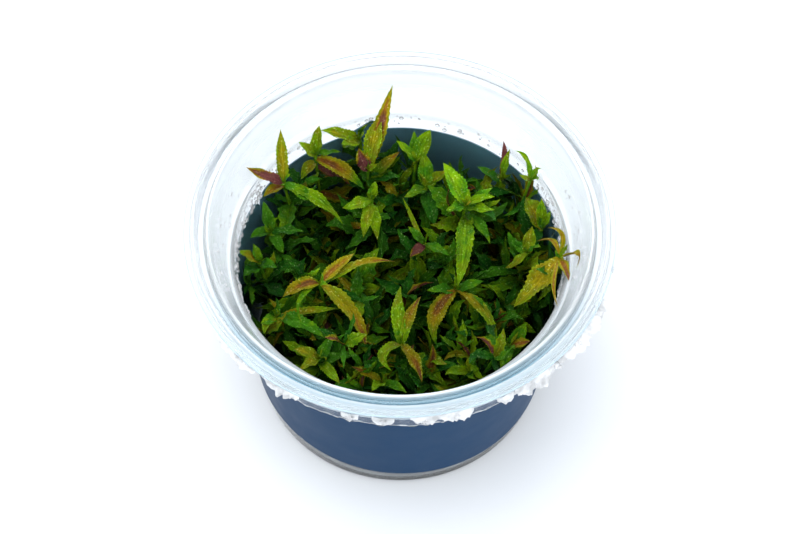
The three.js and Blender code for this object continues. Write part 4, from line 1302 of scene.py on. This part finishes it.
class BuildDroplets(bpy.types.Operator):
    """Builds the condensation on the inside of the wall."""

    bl_idname = "plant_cup.build_droplets"
    bl_label = "Build droplets"

    def execute(self, context):
        tub = context.scene.plant_cup.tub
        draw = np.random.default_rng(DROPLET_SEED)
        turn = np.concatenate([np.radians(draw.uniform(a, b, n)) for a, b, _, _, n in DROPLETS])
        height = np.concatenate([draw.uniform(low, high, n) for _, _, low, high, n in DROPLETS])
        size = 0.22 + 0.5 * draw.uniform(0, 1, len(turn)) ** 3
        beads = self.beads(tub, turn, height, size)
        add_piece(
            "wall_droplets", [(beads, [0, 0, 0])], water_material(), crease=80)
        return {"FINISHED"}

    @staticmethod
    def beads(tub, turn, height, size):
        """Flat round beads on the wall.

        Point = middle + size (cos v cos t · up + cos v sin t · along + 0.5 sin v · inwards), with v
        from -80 to 85 degrees and the up direction stretched by 1.15.
        """
        outward = polar(1, turn, 0)
        along = np.cross([0, 0, 1], outward)
        middle = polar(room(tub, height) - 0.5 * size - 0.04, turn, height)
        v = np.radians([-80, -45, 0, 35, 65, 85])[None, :, None]
        t = around(8)[None, None]
        size = size[:, None, None]
        up = size * 1.15 * np.cos(v) * np.cos(t)
        wide = size * np.cos(v) * np.sin(t)
        deep = size * 0.5 * np.sin(v) * np.ones_like(t)
        return (middle[:, None, None] + up[..., None] * [0, 0, 1]
                + wide[..., None] * along[:, None, None] - deep[..., None] * outward[:, None, None])


class BuildStudio(bpy.types.Operator):
    """Builds the pale floor, the soft lights and the camera."""

    bl_idname = "plant_cup.build_studio"
    bl_label = "Build studio"

    def execute(self, context):
        scene = context.scene
        studio = scene.plant_cup.studio
        mesh = bpy.data.meshes.new("studio_floor")
        low, high = -FLOOR_HALF, FLOOR_HALF
        mesh.from_pydata(
            [(low, low, 0), (high, low, 0), (high, high, 0), (low, high, 0)], [], [(0, 1, 2, 3)])
        mesh.materials.append(floor_material(studio))
        floor = bpy.data.objects.new("studio_floor", mesh)
        scene.collection.objects.link(floor)
        self.light(scene, "key", studio.key, *KEY_LIGHT)
        self.light(scene, "fill", studio.fill, *FILL_LIGHT)
        world = bpy.data.worlds.new("white_surroundings")
        world.use_nodes = True
        sky = world.node_tree.nodes["Background"]
        sky.inputs["Color"].default_value = SKY_COLOUR
        sky.inputs["Strength"].default_value = studio.sky
        scene.world = world
        scene.view_settings.view_transform = "Standard"
        camera = bpy.data.objects.new("camera", bpy.data.cameras.new("camera"))
        camera.data.lens = studio.lens
        camera.data.sensor_width = 36
        camera.data.sensor_fit = "HORIZONTAL"
        camera.data.clip_start = 0.01
        camera.location = (0, -studio.camera_y, studio.camera_z)
        camera.rotation_euler = (math.pi / 2 - studio.pitch, 0, 0)
        scene.collection.objects.link(camera)
        scene.camera = camera
        return {"FINISHED"}

    @staticmethod
    def light(scene, name, power, size, place):
        """A square soft light that faces the tub."""
        data = bpy.data.lights.new(name, "AREA")
        data.energy = power
        data.size = size
        lamp = bpy.data.objects.new(name, data)
        x, y, z = place
        lamp.location = place
        lamp.rotation_euler = (math.atan2(math.hypot(x, y), z), 0, math.atan2(y, x) + math.pi / 2)
        scene.collection.objects.link(lamp)


class PlantCupPanel(bpy.types.Panel):
    """Lists the steps that build the cup."""

    bl_idname = "VIEW3D_PT_plant_cup"
    bl_label = "Plant Cup"
    bl_space_type = "VIEW_3D"
    bl_region_type = "UI"
    bl_category = "Plant Cup"

    def draw(self, context):
        cup = context.scene.plant_cup
        for group in (cup.tub, cup.label, cup.film, cup.plant, cup.studio):
            box = self.layout.box()
            for name in group.bl_rna.properties.keys():
                if name not in ("rna_type", "name"):
                    box.prop(group, name)
        for operator in STEPS:
            self.layout.operator(operator.bl_idname)


STEPS = (
    BuildTub, BuildLabel, BuildFilm, BuildGel, BuildTallShoots, BuildFillShoots, BuildDroplets,
    BuildStudio)
CLASSES = (
    TubSettings, LabelSettings, FilmSettings, PlantSettings, StudioSettings, CupSettings, *STEPS,
    PlantCupPanel)


def register():
    """Registers the settings, the operators and the panel."""
    for item in CLASSES:
        bpy.utils.register_class(item)
    bpy.types.Scene.plant_cup = PointerProperty(type=CupSettings)


def unregister():
    """Takes back what register added."""
    del bpy.types.Scene.plant_cup
    for item in reversed(CLASSES):
        bpy.utils.unregister_class(item)


def main():
    """Builds every piece."""
    register()
    bpy.ops.plant_cup.build_tub()
    bpy.ops.plant_cup.build_label()
    bpy.ops.plant_cup.build_film()
    bpy.ops.plant_cup.build_gel()
    bpy.ops.plant_cup.build_tall_shoots()
    bpy.ops.plant_cup.build_fill_shoots()
    bpy.ops.plant_cup.build_droplets()
    bpy.ops.plant_cup.build_studio()


if __name__ == "__main__":
    main()
